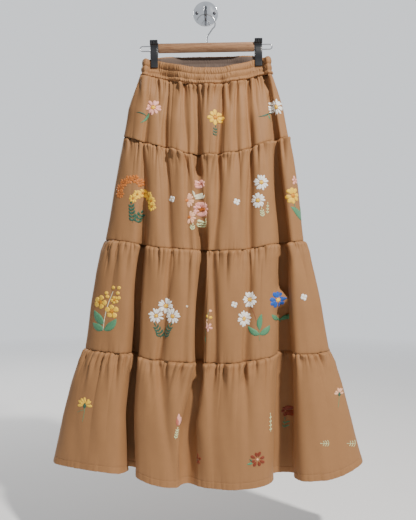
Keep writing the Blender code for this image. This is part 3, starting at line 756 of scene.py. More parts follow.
    def gathers(self, across: Array, below: Array) -> Array:
        """Three orders of gathers under the seam, the wider ones shallower and longer.

        Each rises within a few millimetres of the seam and fades with its own reach, as
        exp of minus distance over reach to the power 1.3.
        """
        total = np.zeros((len(below), len(across)))
        for order, (spacing, depth, shortest, longest) in enumerate(GATHER_ORDERS):
            seed = 7 * self.cut.number + order
            power = 0.50 + 1.1 * smooth_step(0.0, 1.5 * longest, below)
            draw = np.random.default_rng(seed + 50)
            lean = np.interp(across, np.linspace(0.0, 1.0, 24), draw.uniform(-1.0, 1.0, 24))
            leaned = 1.0 - np.exp(-below / (2.0 * spacing))
            moved = (across + lean * 0.55 * spacing * leaned / self.width).clip(0.0, 1.0)
            height, crest = self.ripples(moved, spacing, seed, depth * self.cut.gather, power)
            reach = draw.uniform(shortest, longest, crest.max() + 1)[crest]
            rise = 0.45 + 0.55 * smooth_step(0.0, 0.0035, below)
            crests = height * np.exp(-((below / reach) ** 1.3))
            total += rise * (crests - height.mean() * np.exp(-((below / reach.mean()) ** 1.3)))
        return total

    def creases(self, x: Array) -> Array:
        """How much further each deep fold is pressed in: a slot, a lip and a slope.

        The slot has the fold's flat floor, and is exp of minus the distance from that floor
        over a share of its width to the power 1.8. The lip is a low round roll on its
        right. The slope falls off to the right as the square of what is left of its reach.
        Slots and lips fade out under close needlework, and down a slackening tier.
        """
        level, total = self.level, np.zeros_like(x)
        below = self.shares[:, None] * self.cut.height
        pinched = self.pinched_share * np.exp(-((below / self.pinched_reach) ** 2))
        kept = 1.0 - self.cut.slackening * smooth_step(0.08, 0.40, self.shares)[:, None]
        eased = self.eased(x)
        for fold in self.form.folds(self.side):
            width, floor = at_level(fold.width, level), at_level(fold.floor, level) - 0.002
            depth = at_level(fold.depth, level).clip(0.0, self.deepest_crease)
            sway = self.crease_sway * np.sin(5.0 * level + 40.0 * fold.x[0])
            distance = x - at_level(fold.x, level) - sway
            from_floor = (np.abs(distance) - floor).clip(0.0)
            slot = np.exp(-((from_floor / (self.slot_width * width)) ** 1.8))
            lip = np.exp(-(((distance - floor - 1.5 * width) / (0.9 * width)) ** 2))
            strength = 0.35 + 0.65 * smooth_step(0.006, 0.032, depth)
            if not fold.firm:
                strength = np.maximum(strength * kept, pinched)
            total += depth * strength * (1.0 - eased) * (self.slot_share * slot - self.lip_share * lip)
            left = 1.0 - (distance / at_level(fold.reach, level)).clip(0.0, 1.0)
            begun = smooth_step(-1.0, 0.4, distance / width)
            total += at_level(fold.slope, level) * begun * left**2
        room = np.abs(self.base_y - self.form.at("centre_y", level))
        return np.minimum(total, self.crease_room * room)

    def eased(self, x: Array) -> Array:
        """1 where close needlework stiffens the cloth, falling to 0 round it.

        Each eased place is exp of minus the fourth power of distance over its size.
        """
        height, total = self.heights(x), np.zeros_like(x)
        half_width, half_height = self.eased_size
        for place_x, place_z in self.cut.eased if self.side is Side.FRONT else ():
            apart = np.hypot((x - place_x) / half_width, (height - place_z) / half_height)
            total += np.exp(-(apart**4))
        return np.minimum(total, 1.0)

    def held_out(self, x: Array) -> Array:
        """How far close needlework holds the cloth out of the form's slots, straight out in y."""
        total = np.zeros_like(x)
        for fold in self.form.folds(self.side):
            slot = fold.slot(x, self.level)[2]
            total += self.held_share * at_level(fold.depth, self.level) * slot
        return total * self.eased(x)

    def troughs(self, x: Array, below: Array) -> Array:
        """Soft hollows down the cloth, each exp of minus distance over width to the power 1.7.

        A hollow widens as it goes down, drifts sideways, and fades as exp of minus the
        square of the way down over its reach.
        """
        total = np.zeros_like(x)
        front = self.side is Side.FRONT
        for trough in (Trough(*row) for row in self.cut.troughs) if front else self.back_troughs():
            width = trough.width * (0.75 + 0.9 * below / trough.reach)
            distance = np.abs(x - trough.x - trough.drift * below)
            rise = 0.45 + 0.55 * smooth_step(0.0, 0.012, below)
            fade = np.exp(-((below / trough.reach) ** 2.0))
            total += trough.depth * rise * fade * np.exp(-((distance / width) ** 1.7))
        return total

    def back_troughs(self) -> list[Trough]:
        """Hollows of the back, spaced as unevenly as the front's."""
        draw = np.random.default_rng(300 + self.cut.number)
        half = float(self.form.at("half_width", self.cut.number))
        troughs, x = [], -0.93 * half
        while x < 0.93 * half:
            reach = draw.uniform(0.25, 0.85) * self.cut.height
            depth, width = draw.uniform(0.0020, 0.0050), draw.uniform(0.0040, 0.0070)
            troughs.append(Trough(x, depth, width, reach, draw.uniform(-0.08, 0.08)))
            x += draw.uniform(0.016, 0.036)
        return troughs

    def drift(self, x: Array, below: Array) -> Array:
        """A faint unevenness of the whole panel: three slanting sine waves."""
        turn = 2.0 * math.pi
        wave = 0.0007 * np.sin(turn * (x / 0.083 + below / 0.31) + self.cut.number)
        wave += 0.0005 * np.sin(turn * (x / 0.047 - below / 0.23) + 2.0 * self.cut.number)
        return wave + 0.0004 * np.sin(turn * (x / 0.131 + below / 0.117))

    def heights(self, x: Array) -> Array:
        """Heights of the rows of points, between the seam above and the one below."""
        top = self.form.line_height(self.cut.number, self.level, x, self.side) - self.seam_gap / 2
        bottom = self.form.line_height(self.cut.number + 1, self.level, x, self.side)
        if not self.cut.has_hem:
            bottom = bottom + self.seam_gap / 2
        return top + self.shares[:, None] * (bottom - top)

    def surface_normals(self) -> Array:
        """Unit normals of the grid, out of the skirt: the cross product of its two steps."""
        down = np.gradient(self.points, axis=0)
        right = np.gradient(self.points, axis=1)
        return unit(-self.side.sign * np.cross(down, right))

    def locate(self, x: Array, z: Array) -> tuple[Array, Array]:
        """Rows and columns, as fractions, of places on the panel given by x and z.

        The share of the height is found by three rounds of dividing the height below the
        seam by the distance between the seams at the level of the last round.

        Args:
            x: Places across.
            z: Their heights.

        Returns:
            The row and the column of each place.
        """
        share = np.full(np.shape(x), 0.5)
        for _ in range(3):
            level = self.cut.number + share
            top = self.form.line_height(self.cut.number, level, x, self.side)
            bottom = self.form.line_height(self.cut.number + 1, level, x, self.side)
            share = np.clip((z - top) / (bottom - top), 0.0, 1.0)
        row = np.interp(share, self.shares, np.arange(len(self.shares)))
        low, high = self.base_x.min() - 0.01, self.base_x.max() + 0.01
        places = (self.base_x - low) / (high - low)
        shift = 2.0 * np.arange(len(places))[:, None]
        columns = np.broadcast_to(np.arange(places.shape[1]), places.shape)
        upper = np.minimum(row.astype(int), len(places) - 2)
        near = np.clip((x - low) / (high - low), 0.0, 1.0)
        flat, values = (places + shift).ravel(), columns.ravel()
        first = np.interp(near + 2.0 * upper, flat, values)
        second = np.interp(near + 2.0 * (upper + 1), flat, values)
        return row, first + (row - upper) * (second - first)

    def sample(self, row: Array, column: Array) -> tuple[Array, Array]:
        """Points and unit normals of the surface at fractional rows and columns."""
        return sample_grid(self.points, row, column), unit(sample_grid(self.normals, row, column))

    def on_cloth(self, x: Array, z: Array, raised: Array) -> Array:
        """Points raised above the cloth at x and z."""
        points, normals = self.sample(*self.locate(x, z))
        return points + normals * raised[..., None]

    def build(self, finish: Material) -> Piece:
        """The panel as a thin closed shell.

        Args:
            finish: The cloth's material.

        Returns:
            The object that replaces the panel's plain solid.
        """
        down = self.shares[:, None] * self.cut.height
        across = np.linspace(0.0, 1.0, self.points.shape[1])[None, :] * self.width.mean()
        uv = packed(across, down)
        points = self.points if self.side is Side.FRONT else self.points[:, ::-1]
        name = f"tier_{self.cut.number}_{self.side.column}"
        panel = make_mesh(f"cloth_{name}", grid_data(points, uv), [finish])
        shell = panel.modifiers.new("thickness", "SOLIDIFY")
        shell.thickness = self.thickness
        shell.offset = -1.0
        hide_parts(name)
        return panel


def sample_grid(grid: Array, row: Array, column: Array) -> Array:
    """Bilinear values of a grid of vectors at fractional rows and columns."""
    rows, columns = grid.shape[:2]
    upper = np.clip(row.astype(int), 0, rows - 2)
    left = np.clip(column.astype(int), 0, columns - 2)
    down, right = (row - upper)[..., None], (column - left)[..., None]
    top = grid[upper, left] * (1.0 - right) + grid[upper, left + 1] * right
    bottom = grid[upper + 1, left] * (1.0 - right) + grid[upper + 1, left + 1] * right
    return top * (1.0 - down) + bottom * down


def unit(vectors: Array) -> Array:
    """Vectors of length 1 in the same directions."""
    return vectors / np.linalg.norm(vectors, axis=-1, keepdims=True)


@dataclass
class Waistband:
    """The elastic casing: a closed strip, stitched into channels and ruched all round.

    The pads' sides and foot are where the cloth comes free of the clips: metres beside a
    clip's middle, and shares of the way down.
    """

    form: SkirtForm
    columns: int = 620
    outer_rows: int = 34
    inner_rows: int = 22
    thickness: float = 0.0022
    channel_edges: tuple[float, ...] = (0.0, 0.39, 0.77, 1.0)
    channel_puff: float = 0.0026
    ruche: float = 0.0018
    ruche_width: float = 0.0050
    ruche_sway: float = 0.0016
    girth: float = 0.70
    height: float = 0.04
    texture_height: float = 0.1
    pad_sides: Point = (0.0105, 0.0150)
    pad_foot: Point = (0.50, 0.66)
    edge_wave: float = 0.0011
    seam_roll: float = 0.0022
    roll_reach: float = 0.0018
    points: Array = field(init=False)
    normals: Array = field(init=False)

    def __post_init__(self) -> None:
        """Works out the outer surface once."""
        self.points = self.side_points(np.linspace(0.0, 1.0, self.outer_rows), inside=False)
        down = np.gradient(self.points, axis=0)
        around = np.roll(self.points, -1, axis=1) - np.roll(self.points, 1, axis=1)
        self.normals = unit(np.cross(down, around))

    def ring(self, share: Array) -> tuple[Array, Array, Array]:
        """x and y round the waist, front first, and True in the columns of the front."""
        half = self.columns // 2
        places = np.linspace(0.0, 1.0, half + 1)[None, :]
        rows = {}
        for side in Side:
            fine_x, fine_y = self.form.section(share, side)
            length = along(packed(fine_x, fine_y))
            length = length / length[:, -1:]
            rows[side] = interp_rows(places, length, fine_x), interp_rows(places, length, fine_y)
        x = np.concatenate([rows[Side.FRONT][0][:, :-1], rows[Side.BACK][0][:, :0:-1]], axis=1)
        y = np.concatenate([rows[Side.FRONT][1][:, :-1], rows[Side.BACK][1][:, :0:-1]], axis=1)
        return x, y, (np.arange(2 * half) < half)[None, :]

    def ruching(self, share: Array) -> Array:
        """Heights of the ruches: small round crests, uneven, that sway from channel to channel.

        A crest is the sine of half a turn across it to the power 0.9.
        """
        draw = np.random.default_rng(11)
        count = round(self.girth / self.ruche_width)
        steps = draw.uniform(0.5, 1.5, count)
        knots = np.concatenate([[0.0], np.cumsum(steps)]) / steps.sum()
        place = np.arange(self.columns)[None, :] / self.columns
        sway = self.ruche_sway * np.sin(2.0 * math.pi * (2.3 * share[:, None] + 7.0 * place))
        phase = np.interp((place + sway) % 1.0, knots, np.arange(count + 1))
        crest = np.minimum(phase.astype(int), count - 1)
        channels = len(self.channel_edges) - 1
        strength = draw.uniform(0.35, 1.3, (channels, count))
        channel = np.minimum(self.channel_at(share).astype(int), channels - 1)
        return strength[channel[:, None], crest] * np.abs(np.sin(math.pi * phase)) ** 0.9

    def channel_at(self, share: Array) -> Array:
        """The number of the channel, with the share of the way down it as its fraction."""
        return np.interp(share, self.channel_edges, np.arange(len(self.channel_edges)))

    def free(self, x: Array, share: Array) -> Array:
        """0 under the clips' pads, and 1 a few millimetres beside and below them."""
        beside = smooth_step(*self.pad_sides, np.abs(CLIP_X - np.abs(x - PAD_SHIFT)))
        return 1.0 - (1.0 - beside) * (1.0 - smooth_step(*self.pad_foot, share[:, None]))

    def side_points(self, share: Array, inside: bool) -> Array:
        """The outer or inner surface, top to bottom: puffed channels with ruches on them.

        A channel's puff is the sine of half a turn across it to the power 0.45.

        Args:
            share: The rows, as shares of the way down.
            inside: True for the inner surface.

        Returns:
            Shape (rows, columns, 3).
        """
        x, y, is_front = self.ring(share)
        step_x, step_y = np.roll(x, -1, 1) - np.roll(x, 1, 1), np.roll(y, -1, 1) - np.roll(y, 1, 1)
        length = np.hypot(step_x, step_y)
        out_x, out_y = step_y / length, -step_x / length
        channel = np.abs(np.sin(math.pi * self.channel_at(share)))[:, None] ** 0.45
        ruched = self.ruche * (0.25 + 0.75 * channel) * self.ruching(share)
        swell = self.free(x, share) * (self.channel_puff * channel + ruched)
        roll = np.exp(-(((1.0 - share[:, None]) * self.height / self.roll_reach) ** 1.4))
        offset = -self.thickness - 0.3 * swell if inside else swell - self.seam_roll * roll
        x, y = x + out_x * offset, y + out_y * offset
        top, bottom = (np.where(is_front, *self.line(line, x, share)) for line in (0, 1))
        fading = self.edge_wave * (1.0 - share[:, None]) ** 3
        waved = self.free(x, share) * self.ruching(np.zeros(1)) * fading
        height = top + share[:, None] * (bottom - top) + waved - self.edge_wave / 2
        return packed(x, y, height)

    def line(self, line: int, x: Array, share: Array) -> tuple[Array, Array]:
        """Heights of a seam line along the front and along the back."""
        level = share[:, None]
        front = self.form.line_height(line, level, x, Side.FRONT)
        return front, self.form.line_height(line, level, x, Side.BACK)

    def build(self, finish: Material, painted_shade_lining: Material) -> Piece:
        """The casing as one closed skin: up the outside, over the top and down the inside.

        Args:
            finish: The cloth's material.
            painted_shade_lining: The inner face's material, a darker cloth that paints the shade inside the
                band.

        Returns:
            The object that replaces the plain waistband.
        """
        inner = self.side_points(np.linspace(0.0, 1.0, self.inner_rows), inside=True)
        outer_top, inner_top = self.points[0], inner[0]
        turn = np.linspace(0.0, math.pi, 7)[1:-1, None, None]
        middle, reach = (outer_top + inner_top) / 2, (outer_top - inner_top) / 2
        crown = middle + reach * np.cos(turn) + np.array((0.0, 0.0, self.thickness / 2)) * np.sin(turn)
        points = np.concatenate([inner[::-1], crown[::-1], self.points])
        rows = len(points)
        down = np.linspace(0.0, self.texture_height, rows)[:, None]
        across = np.linspace(0.0, self.girth, self.columns)[None, :]
        uv = packed(across, down)
        data = grid_data(points, uv, closed_rows=True, closed_columns=True)
        # The inner faces take the second material, whose darker colour paints the shade inside the band
        inside = (np.arange(len(data.faces)) // self.columns) < self.inner_rows - 2
        data = MeshData(data.points, data.faces, data.uv, inside.astype(int))
        band = make_mesh("cloth_waistband", data, [finish, painted_shade_lining])
        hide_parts("waistband")
        return band


class Look(Enum):
    """Plain finishes: base colour, roughness, metallic and coat."""

    PLASTIC = ((0.014, 0.015, 0.018), 0.30, 0.0, 0.0)
    STEEL = ((0.42, 0.43, 0.45), 0.22, 1.0, 0.0)
    CHROME = ((0.74, 0.76, 0.79), 0.10, 1.0, 0.0)
    DARK_CHROME = ((0.16, 0.165, 0.18), 0.14, 1.0, 0.0)
    SCREW = ((0.09, 0.09, 0.10), 0.38, 1.0, 0.0)


class Thread(Enum):
    """Embroidery threads and their colours."""

    WHITE = (0.93, 0.91, 0.86)
    YELLOW = (0.95, 0.58, 0.045)
    GOLD = (0.66, 0.26, 0.012)
    ORANGE = (0.56, 0.17, 0.03)
    PINK = (0.90, 0.42, 0.35)
    ROSE = (0.50, 0.15, 0.10)
    PEACH = (0.92, 0.50, 0.32)
    BRICK = (0.22, 0.038, 0.014)
    BLUE = (0.016, 0.095, 0.44)
    CREAM = (0.74, 0.70, 0.50)
    PALE_GREEN = (0.66, 0.72, 0.40)
    GREEN = (0.085, 0.26, 0.135)
    DARK_GREEN = (0.035, 0.105, 0.065)
    TAN = (0.30, 0.165, 0.075)


# The threads by their own names, for the needlework
(WHITE, YELLOW, GOLD, ORANGE, PINK, ROSE, PEACH, BRICK, BLUE, CREAM,
 PALE_GREEN, GREEN, DARK_GREEN, TAN) = Thread
THREAD_NUMBER = {thread: number for number, thread in enumerate(Thread)}


@dataclass
class Nodes:
    """Adds nodes to a tree and joins them, left to right."""

    tree: Tree
    count: int = 0

    def add(self, kind: str, settings: dict | None = None, **inputs: object) -> Node:
        """A node with settings and with inputs given as values or as other nodes' sockets.

        Args:
            kind: Its type, without the words ShaderNode.
            settings: Its properties.
            **inputs: Its input sockets, as for feed.

        Returns:
            The node.
        """
        prefix = "" if kind.startswith("NodeGroup") else "ShaderNode"
        node = self.tree.nodes.new(prefix + kind)
        node.location = (180.0 * self.count, 0.0)
        self.count += 1
        for name, value in (settings or {}).items():
            setattr(node, name, value)
        self.feed(node, **inputs)
        return node

    def feed(self, node: Node, **inputs: object) -> None:
        """Gives a node's input sockets their values, or joins other nodes' sockets to them.

        Args:
            node: The node.
            **inputs: Its input sockets by name, with _ for a space, or by i and a number.
        """
        for name, value in inputs.items():
            numbered = name[0] == "i" and name[1:].isdigit()
            socket = node.inputs[int(name[1:])] if numbered else node.inputs[name.replace("_", " ")]
            if isinstance(value, Socket):
                self.tree.links.new(value, socket)
            else:
                socket.default_value = value

    def math(self, operation: str, *values: Socket | float) -> Socket:
        """The result of a Math node."""
        given = {f"i{number}": value for number, value in enumerate(values)}
        return self.add("Math", {"operation": operation}, **given).outputs[0]

    def blend(self, share: Socket | float, first: Socket | tuple, second: Socket | tuple,
              kind: str = "MIX") -> Socket:
        """The result of a Mix node on colours."""
        given = {"i0": share, "i6": first, "i7": second}
        return self.add("Mix", {"data_type": "RGBA", "blend_type": kind}, **given).outputs[2]


def new_group(name: str, inputs: dict[str, tuple], outputs: dict[str, str]) -> tuple[Nodes, Node, Node]:
    """An empty node group with named sockets.

    Args:
        name: Its name.
        inputs: The type and, for a number, the default value of each input.
        outputs: The type of each output.

    Returns:
        The group's nodes, its input node and its output node.
    """
    group = bpy.data.node_groups.new(name, "ShaderNodeTree")
    for label, (kind, value) in inputs.items():
        socket = group.interface.new_socket(label, in_out="INPUT", socket_type=f"NodeSocket{kind}")
        if value is not None:
            socket.default_value = value
    for label, kind in outputs.items():
        group.interface.new_socket(label, in_out="OUTPUT", socket_type=f"NodeSocket{kind}")
    nodes = Nodes(group)
    return nodes, nodes.add("NodeGroupInput"), nodes.add("NodeGroupOutput")


def weave_group() -> Tree:
    """Fine twill: slanting ribs crossed by the weft, from texture places in metres."""
    inputs = {"Vector": ("Vector", None), "Thread": ("Float", 0.00045)}
    nodes, given, made = new_group("twill_weave", inputs, {"Height": "Float", "Shade": "Float"})
    place = nodes.add("SeparateXYZ", Vector=given.outputs["Vector"])
    pitch = nodes.math("DIVIDE", 2.0 * math.pi, given.outputs["Thread"])
    across = nodes.math("MULTIPLY", place.outputs["X"], pitch)
    down = nodes.math("MULTIPLY", place.outputs["Y"], pitch)
    rib = nodes.math("SINE", nodes.math("ADD", across, down))
    weft = nodes.math("SINE", nodes.math("MULTIPLY", down, 2.0))
    height = nodes.math("MULTIPLY_ADD", rib, 0.35, nodes.math("MULTIPLY_ADD", weft, 0.15, 0.5))
    slub = nodes.add("TexNoise", Vector=given.outputs["Vector"], Scale=420.0, Detail=2.0)
    nodes.feed(made, Height=height, Shade=slub.outputs["Fac"])
    return nodes.tree


def drift_group() -> Tree:
    """Slow unevenness of a colour: broad clouds with finer ones on them, about 0.5."""
    inputs = {"Vector": ("Vector", None), "Broad": ("Float", 9.0), "Fine": ("Float", 70.0)}
    nodes, given, made = new_group("colour_drift", inputs, {"Value": "Float"})
    vector = given.outputs["Vector"]
    broad = nodes.add("TexNoise", Vector=vector, Scale=given.outputs["Broad"], Detail=2.0)
    fine = nodes.add("TexNoise", Vector=vector, Scale=given.outputs["Fine"], Detail=4.0)
    part = nodes.math("MULTIPLY", broad.outputs["Fac"], 0.65)
    nodes.feed(made, Value=nodes.math("MULTIPLY_ADD", fine.outputs["Fac"], 0.35, part))
    return nodes.tree


def strand_group() -> Tree:
    """Satin stitch: slanting strands side by side, from texture places in metres."""
    inputs = {"Vector": ("Vector", None), "Strand": ("Float", 0.0005), "Slant": ("Float", 0.5)}
    nodes, given, made = new_group("satin_strands", inputs, {"Height": "Float", "Shade": "Float"})
    place = nodes.add("SeparateXYZ", Vector=given.outputs["Vector"])
    slanted = nodes.math("MULTIPLY_ADD", place.outputs["Y"], given.outputs["Slant"], place.outputs["X"])
    wobble = nodes.add("TexNoise", Vector=given.outputs["Vector"], Scale=500.0, Detail=1.0)
    moved = nodes.math("MULTIPLY_ADD", wobble.outputs["Fac"], 0.0003, slanted)
    pitch = nodes.math("DIVIDE", 2.0 * math.pi, given.outputs["Strand"])
    wave = nodes.math("SINE", nodes.math("MULTIPLY", moved, pitch))
    height = nodes.math("MULTIPLY_ADD", wave, 0.5, 0.5)
    nodes.feed(made, Height=height, Shade=wobble.outputs["Fac"])
    return nodes.tree


def grain_group() -> Tree:
    """Wood grain along X: pores drawn out into lines, and broader wandering bands."""
    inputs = {"Vector": ("Vector", None), "Lines": ("Float", 1.0)}
    nodes, given, made = new_group("wood_grain", inputs, {"Bands": "Float", "Pores": "Float"})
    vector, lines = given.outputs["Vector"], given.outputs["Lines"]
    drawn = nodes.add("Mapping", Vector=vector, Scale=(5.0, 90.0, 90.0))
    bands = nodes.add("TexNoise", Vector=drawn.outputs[0], Scale=lines, Detail=3.0, Distortion=0.6)
    finer = nodes.add("Mapping", Vector=vector, Scale=(40.0, 1100.0, 1100.0))
    pores = nodes.add("TexNoise", Vector=finer.outputs[0], Scale=lines, Detail=2.0)
    nodes.feed(made, Bands=bands.outputs["Fac"], Pores=pores.outputs["Fac"])
    return nodes.tree


def wear_group() -> Tree:
    """Handling marks: soft smudges as a value from 0 to 1, and fine grit as a height."""
    inputs = {"Vector": ("Vector", None), "Smudge": ("Float", 60.0), "Grit": ("Float", 900.0)}
    nodes, given, made = new_group("handling_wear", inputs, {"Value": "Float", "Height": "Float"})
    vector = given.outputs["Vector"]
    smudge = nodes.add("TexNoise", Vector=vector, Scale=given.outputs["Smudge"], Detail=5.0)
    grit = nodes.add("TexNoise", Vector=vector, Scale=given.outputs["Grit"], Detail=2.0)
    nodes.feed(made, Value=smudge.outputs["Fac"], Height=grit.outputs["Fac"])
    return nodes.tree


def shade_of(colour: Colour, factor: float) -> tuple[float, float, float, float]:
    """A colour made lighter or darker, with its alpha."""
    return (*(min(1.0, channel * factor) for channel in colour), 1.0)


@dataclass(frozen=True)
class Woven:
    """A woven cloth: its colour, and how far its shades, slubs, gloss and relief go.

    The shades are factors on the colour, and the slubs' is the darkest one. The roughness
    is its spread and its least value, and the relief its strength and its height.
    """

    name: str
    colour: Colour
    shades: Point
    slubs: float
    roughness: Point
    specular: float
    relief: Point


TWILL = Woven(
    name="tan_satin_twill",
    colour=(0.335, 0.168, 0.072),
    shades=(0.86, 1.14),
    slubs=0.93,
    roughness=(0.10, 0.60),
    specular=0.22,
    relief=(0.25, 0.00008),
)
# Painted shade: the waistband's inner face gets this darker grey-brown cloth, which stands in for the shade
# inside the band
PAINTED_SHADE_LINING = Woven(
    name="taupe_painted_shade_lining",
    colour=(0.150, 0.108, 0.088),
    shades=(0.85, 1.15),
    slubs=0.88,
    roughness=(0.08, 0.72),
    specular=0.25,
    relief=(0.3, 0.00010),
)


@dataclass(frozen=True)
class Finishes:
    """Makes the materials. The groups are built once and placed in each with its own values."""

    weave: Tree
    drift: Tree
    strands: Tree
    grain: Tree
    wear: Tree

    def start(self, name: str) -> tuple[Material, Nodes, Node]:
        """A new material, its nodes and its Principled shader."""
        material = bpy.data.materials.new(name)
        material.use_nodes = True
        shader = material.node_tree.nodes["Principled BSDF"]
        return material, Nodes(material.node_tree), shader

    def place(self, nodes: Nodes, tree: Tree, source: str = "Object", **inputs: object) -> Node:
        """A group placed in a material, on Object or UV coordinates and with its own values."""
        coordinates = nodes.add("TexCoord")
        return nodes.add("Group", {"node_tree": tree}, Vector=coordinates.outputs[source], **inputs)

    def bump(self, nodes: Nodes, shader: Node, height: Socket, strength: float, distance: float) -> None:
        """Joins a height to the shader's normal."""
        relief = nodes.add("Bump", Strength=strength, Distance=distance, Height=height)
        nodes.feed(shader, Normal=relief.outputs["Normal"])

    def woven(self, cloth: Woven) -> tuple[Material, Nodes, Node]:
        """A woven cloth's material, its nodes and its Principled shader."""
        material, nodes, shader = self.start(cloth.name)
        weave = self.place(nodes, self.weave, "UV")
        drift = self.place(nodes, self.drift)
        shades = (shade_of(cloth.colour, factor) for factor in cloth.shades)
        even = nodes.blend(drift.outputs["Value"], *shades)
        plain: Colour = (1.0, 1.0, 1.0)
        slubs = nodes.blend(weave.outputs["Shade"], shade_of(plain, cloth.slubs), shade_of(plain, 1.0))
        colour = nodes.blend(1.0, even, slubs, "MULTIPLY")
        roughness = nodes.math("MULTIPLY_ADD", drift.outputs["Value"], *cloth.roughness)
        nodes.feed(shader, Base_Color=colour, Roughness=roughness, Specular_IOR_Level=cloth.specular)
        self.bump(nodes, shader, weave.outputs["Height"], *cloth.relief)
        return material, nodes, shader

    def cloth(self) -> Material:
        """Tan-brown twill with a soft satin sheen."""
        material, nodes, shader = self.woven(TWILL)
        nodes.feed(shader, Sheen_Weight=0.06, Sheen_Roughness=0.45, Sheen_Tint=(0.95, 0.78, 0.60, 1.0))
        return material

    def painted_shade_lining(self) -> Material:
        """Darker grey-brown cloth of the waistband's inner face: painted shade for the inside of the band."""
        return self.woven(PAINTED_SHADE_LINING)[0]

    def thread(self, thread: Thread) -> Material:
        """Glossy embroidery thread of one colour, darker in the grooves between its strands and lighter on
        their tops: painted shade and highlight.
        """
        material, nodes, shader = self.start(f"thread_{thread.name.lower()}")
        strands = self.place(nodes, self.strands, "UV")
        # Painted shade and highlight: the strands' height darkens the thread in the grooves between strands
        # and lightens it on their tops
        light, dark = shade_of(thread.value, 1.05), shade_of(thread.value, 0.84)
        colour = nodes.blend(strands.outputs["Height"], dark, light)
        patchy = nodes.blend(strands.outputs["Shade"], colour, light)
        nodes.feed(shader, Base_Color=patchy, Roughness=0.42, Sheen_Weight=0.06, Specular_IOR_Level=0.32)
        self.bump(nodes, shader, strands.outputs["Height"], 0.6, 0.00015)
        return material

    def wood(self) -> Material:
        """Pale wood, planed and thinly lacquered, with its grain along the bar."""
        material, nodes, shader = self.start("pale_lacquered_wood")
        grain = self.place(nodes, self.grain)
        pale: Colour = (0.35, 0.188, 0.096)
        bands = nodes.add("ValToRGB", Fac=grain.outputs["Bands"])
        bands.color_ramp.elements[0].position = 0.32
        bands.color_ramp.elements[0].color = shade_of(pale, 0.62)
        bands.color_ramp.elements[1].position = 0.66
        bands.color_ramp.elements[1].color = shade_of(pale, 1.16)
        pores = nodes.add("ValToRGB", Fac=grain.outputs["Pores"])
        pores.color_ramp.elements[0].position = 0.36
        pores.color_ramp.elements[0].color = (0.62, 0.52, 0.44, 1.0)
        pores.color_ramp.elements[1].position = 0.50
        colour = nodes.blend(1.0, bands.outputs[0], pores.outputs[0], "MULTIPLY")
        roughness = nodes.math("MULTIPLY_ADD", grain.outputs["Pores"], -0.15, 0.52)
        nodes.feed(shader, Base_Color=colour, Roughness=roughness)
        self.bump(nodes, shader, grain.outputs["Pores"], 0.3, 0.0002)
        return material

    def hard(self, look: Look) -> Material:
        """Plastic or metal with smudges in its gloss and a trace of grit."""
        colour, roughness, metallic, coat = look.value
        material, nodes, shader = self.start(f"{look.name.lower()}_finish")
        wear = self.place(nodes, self.wear)
        shades = shade_of(colour, 0.85), shade_of(colour, 1.12)
        worn = nodes.blend(wear.outputs["Value"], *shades)
        spread = nodes.math("MULTIPLY_ADD", wear.outputs["Value"], 0.22, roughness - 0.08)
        nodes.feed(shader, Base_Color=worn, Roughness=spread, Metallic=metallic, Coat_Weight=coat)
        self.bump(nodes, shader, wear.outputs["Height"], 0.12, 0.00005)
        return material

    def floor(self) -> Material:
        """Plain pale floor that fades out far away."""
        material, nodes, shader = self.start("pale_floor")
        coordinates = nodes.add("TexCoord")
        reach = nodes.add("VectorMath", {"operation": "LENGTH"}, i0=coordinates.outputs["Object"])
        limits = {"From_Min": 1.6, "From_Max": 4.5, "To_Min": 1.0, "To_Max": 0.0}
        fade = nodes.add("MapRange", Value=reach.outputs["Value"], **limits)
        drift = self.place(nodes, self.drift, Broad=1.5, Fine=9.0)
        colour = nodes.blend(drift.outputs["Value"], (0.73, 0.74, 0.76, 1.0), (0.77, 0.78, 0.80, 1.0))
        nodes.feed(shader, Base_Color=colour, Alpha=fade.outputs["Result"], Roughness=0.9)
        return material


class Shape(Enum):
    """A stroke's outline: where it is widest, how blunt it is, and how far it is raised.

    Its half width is the sine of half a turn, read at the share along it to the first
    number's power, and raised to the second number's power.
    """

    PETAL = (1.45, 0.55, 0.0009)
    LEAF = (0.85, 0.85, 0.0009)
    STEM = (1.0, 0.20, 0.0007)
    ROUND = (1.0, 0.52, 0.0015)


@dataclass(frozen=True)
class Stroke:
    """A pad of satin stitch along a bent line on the cloth, in x and z."""

    start: Point
    end: Point
    width: float
    thread: Thread
    shape: Shape = Shape.PETAL
    bend: float = 0.0


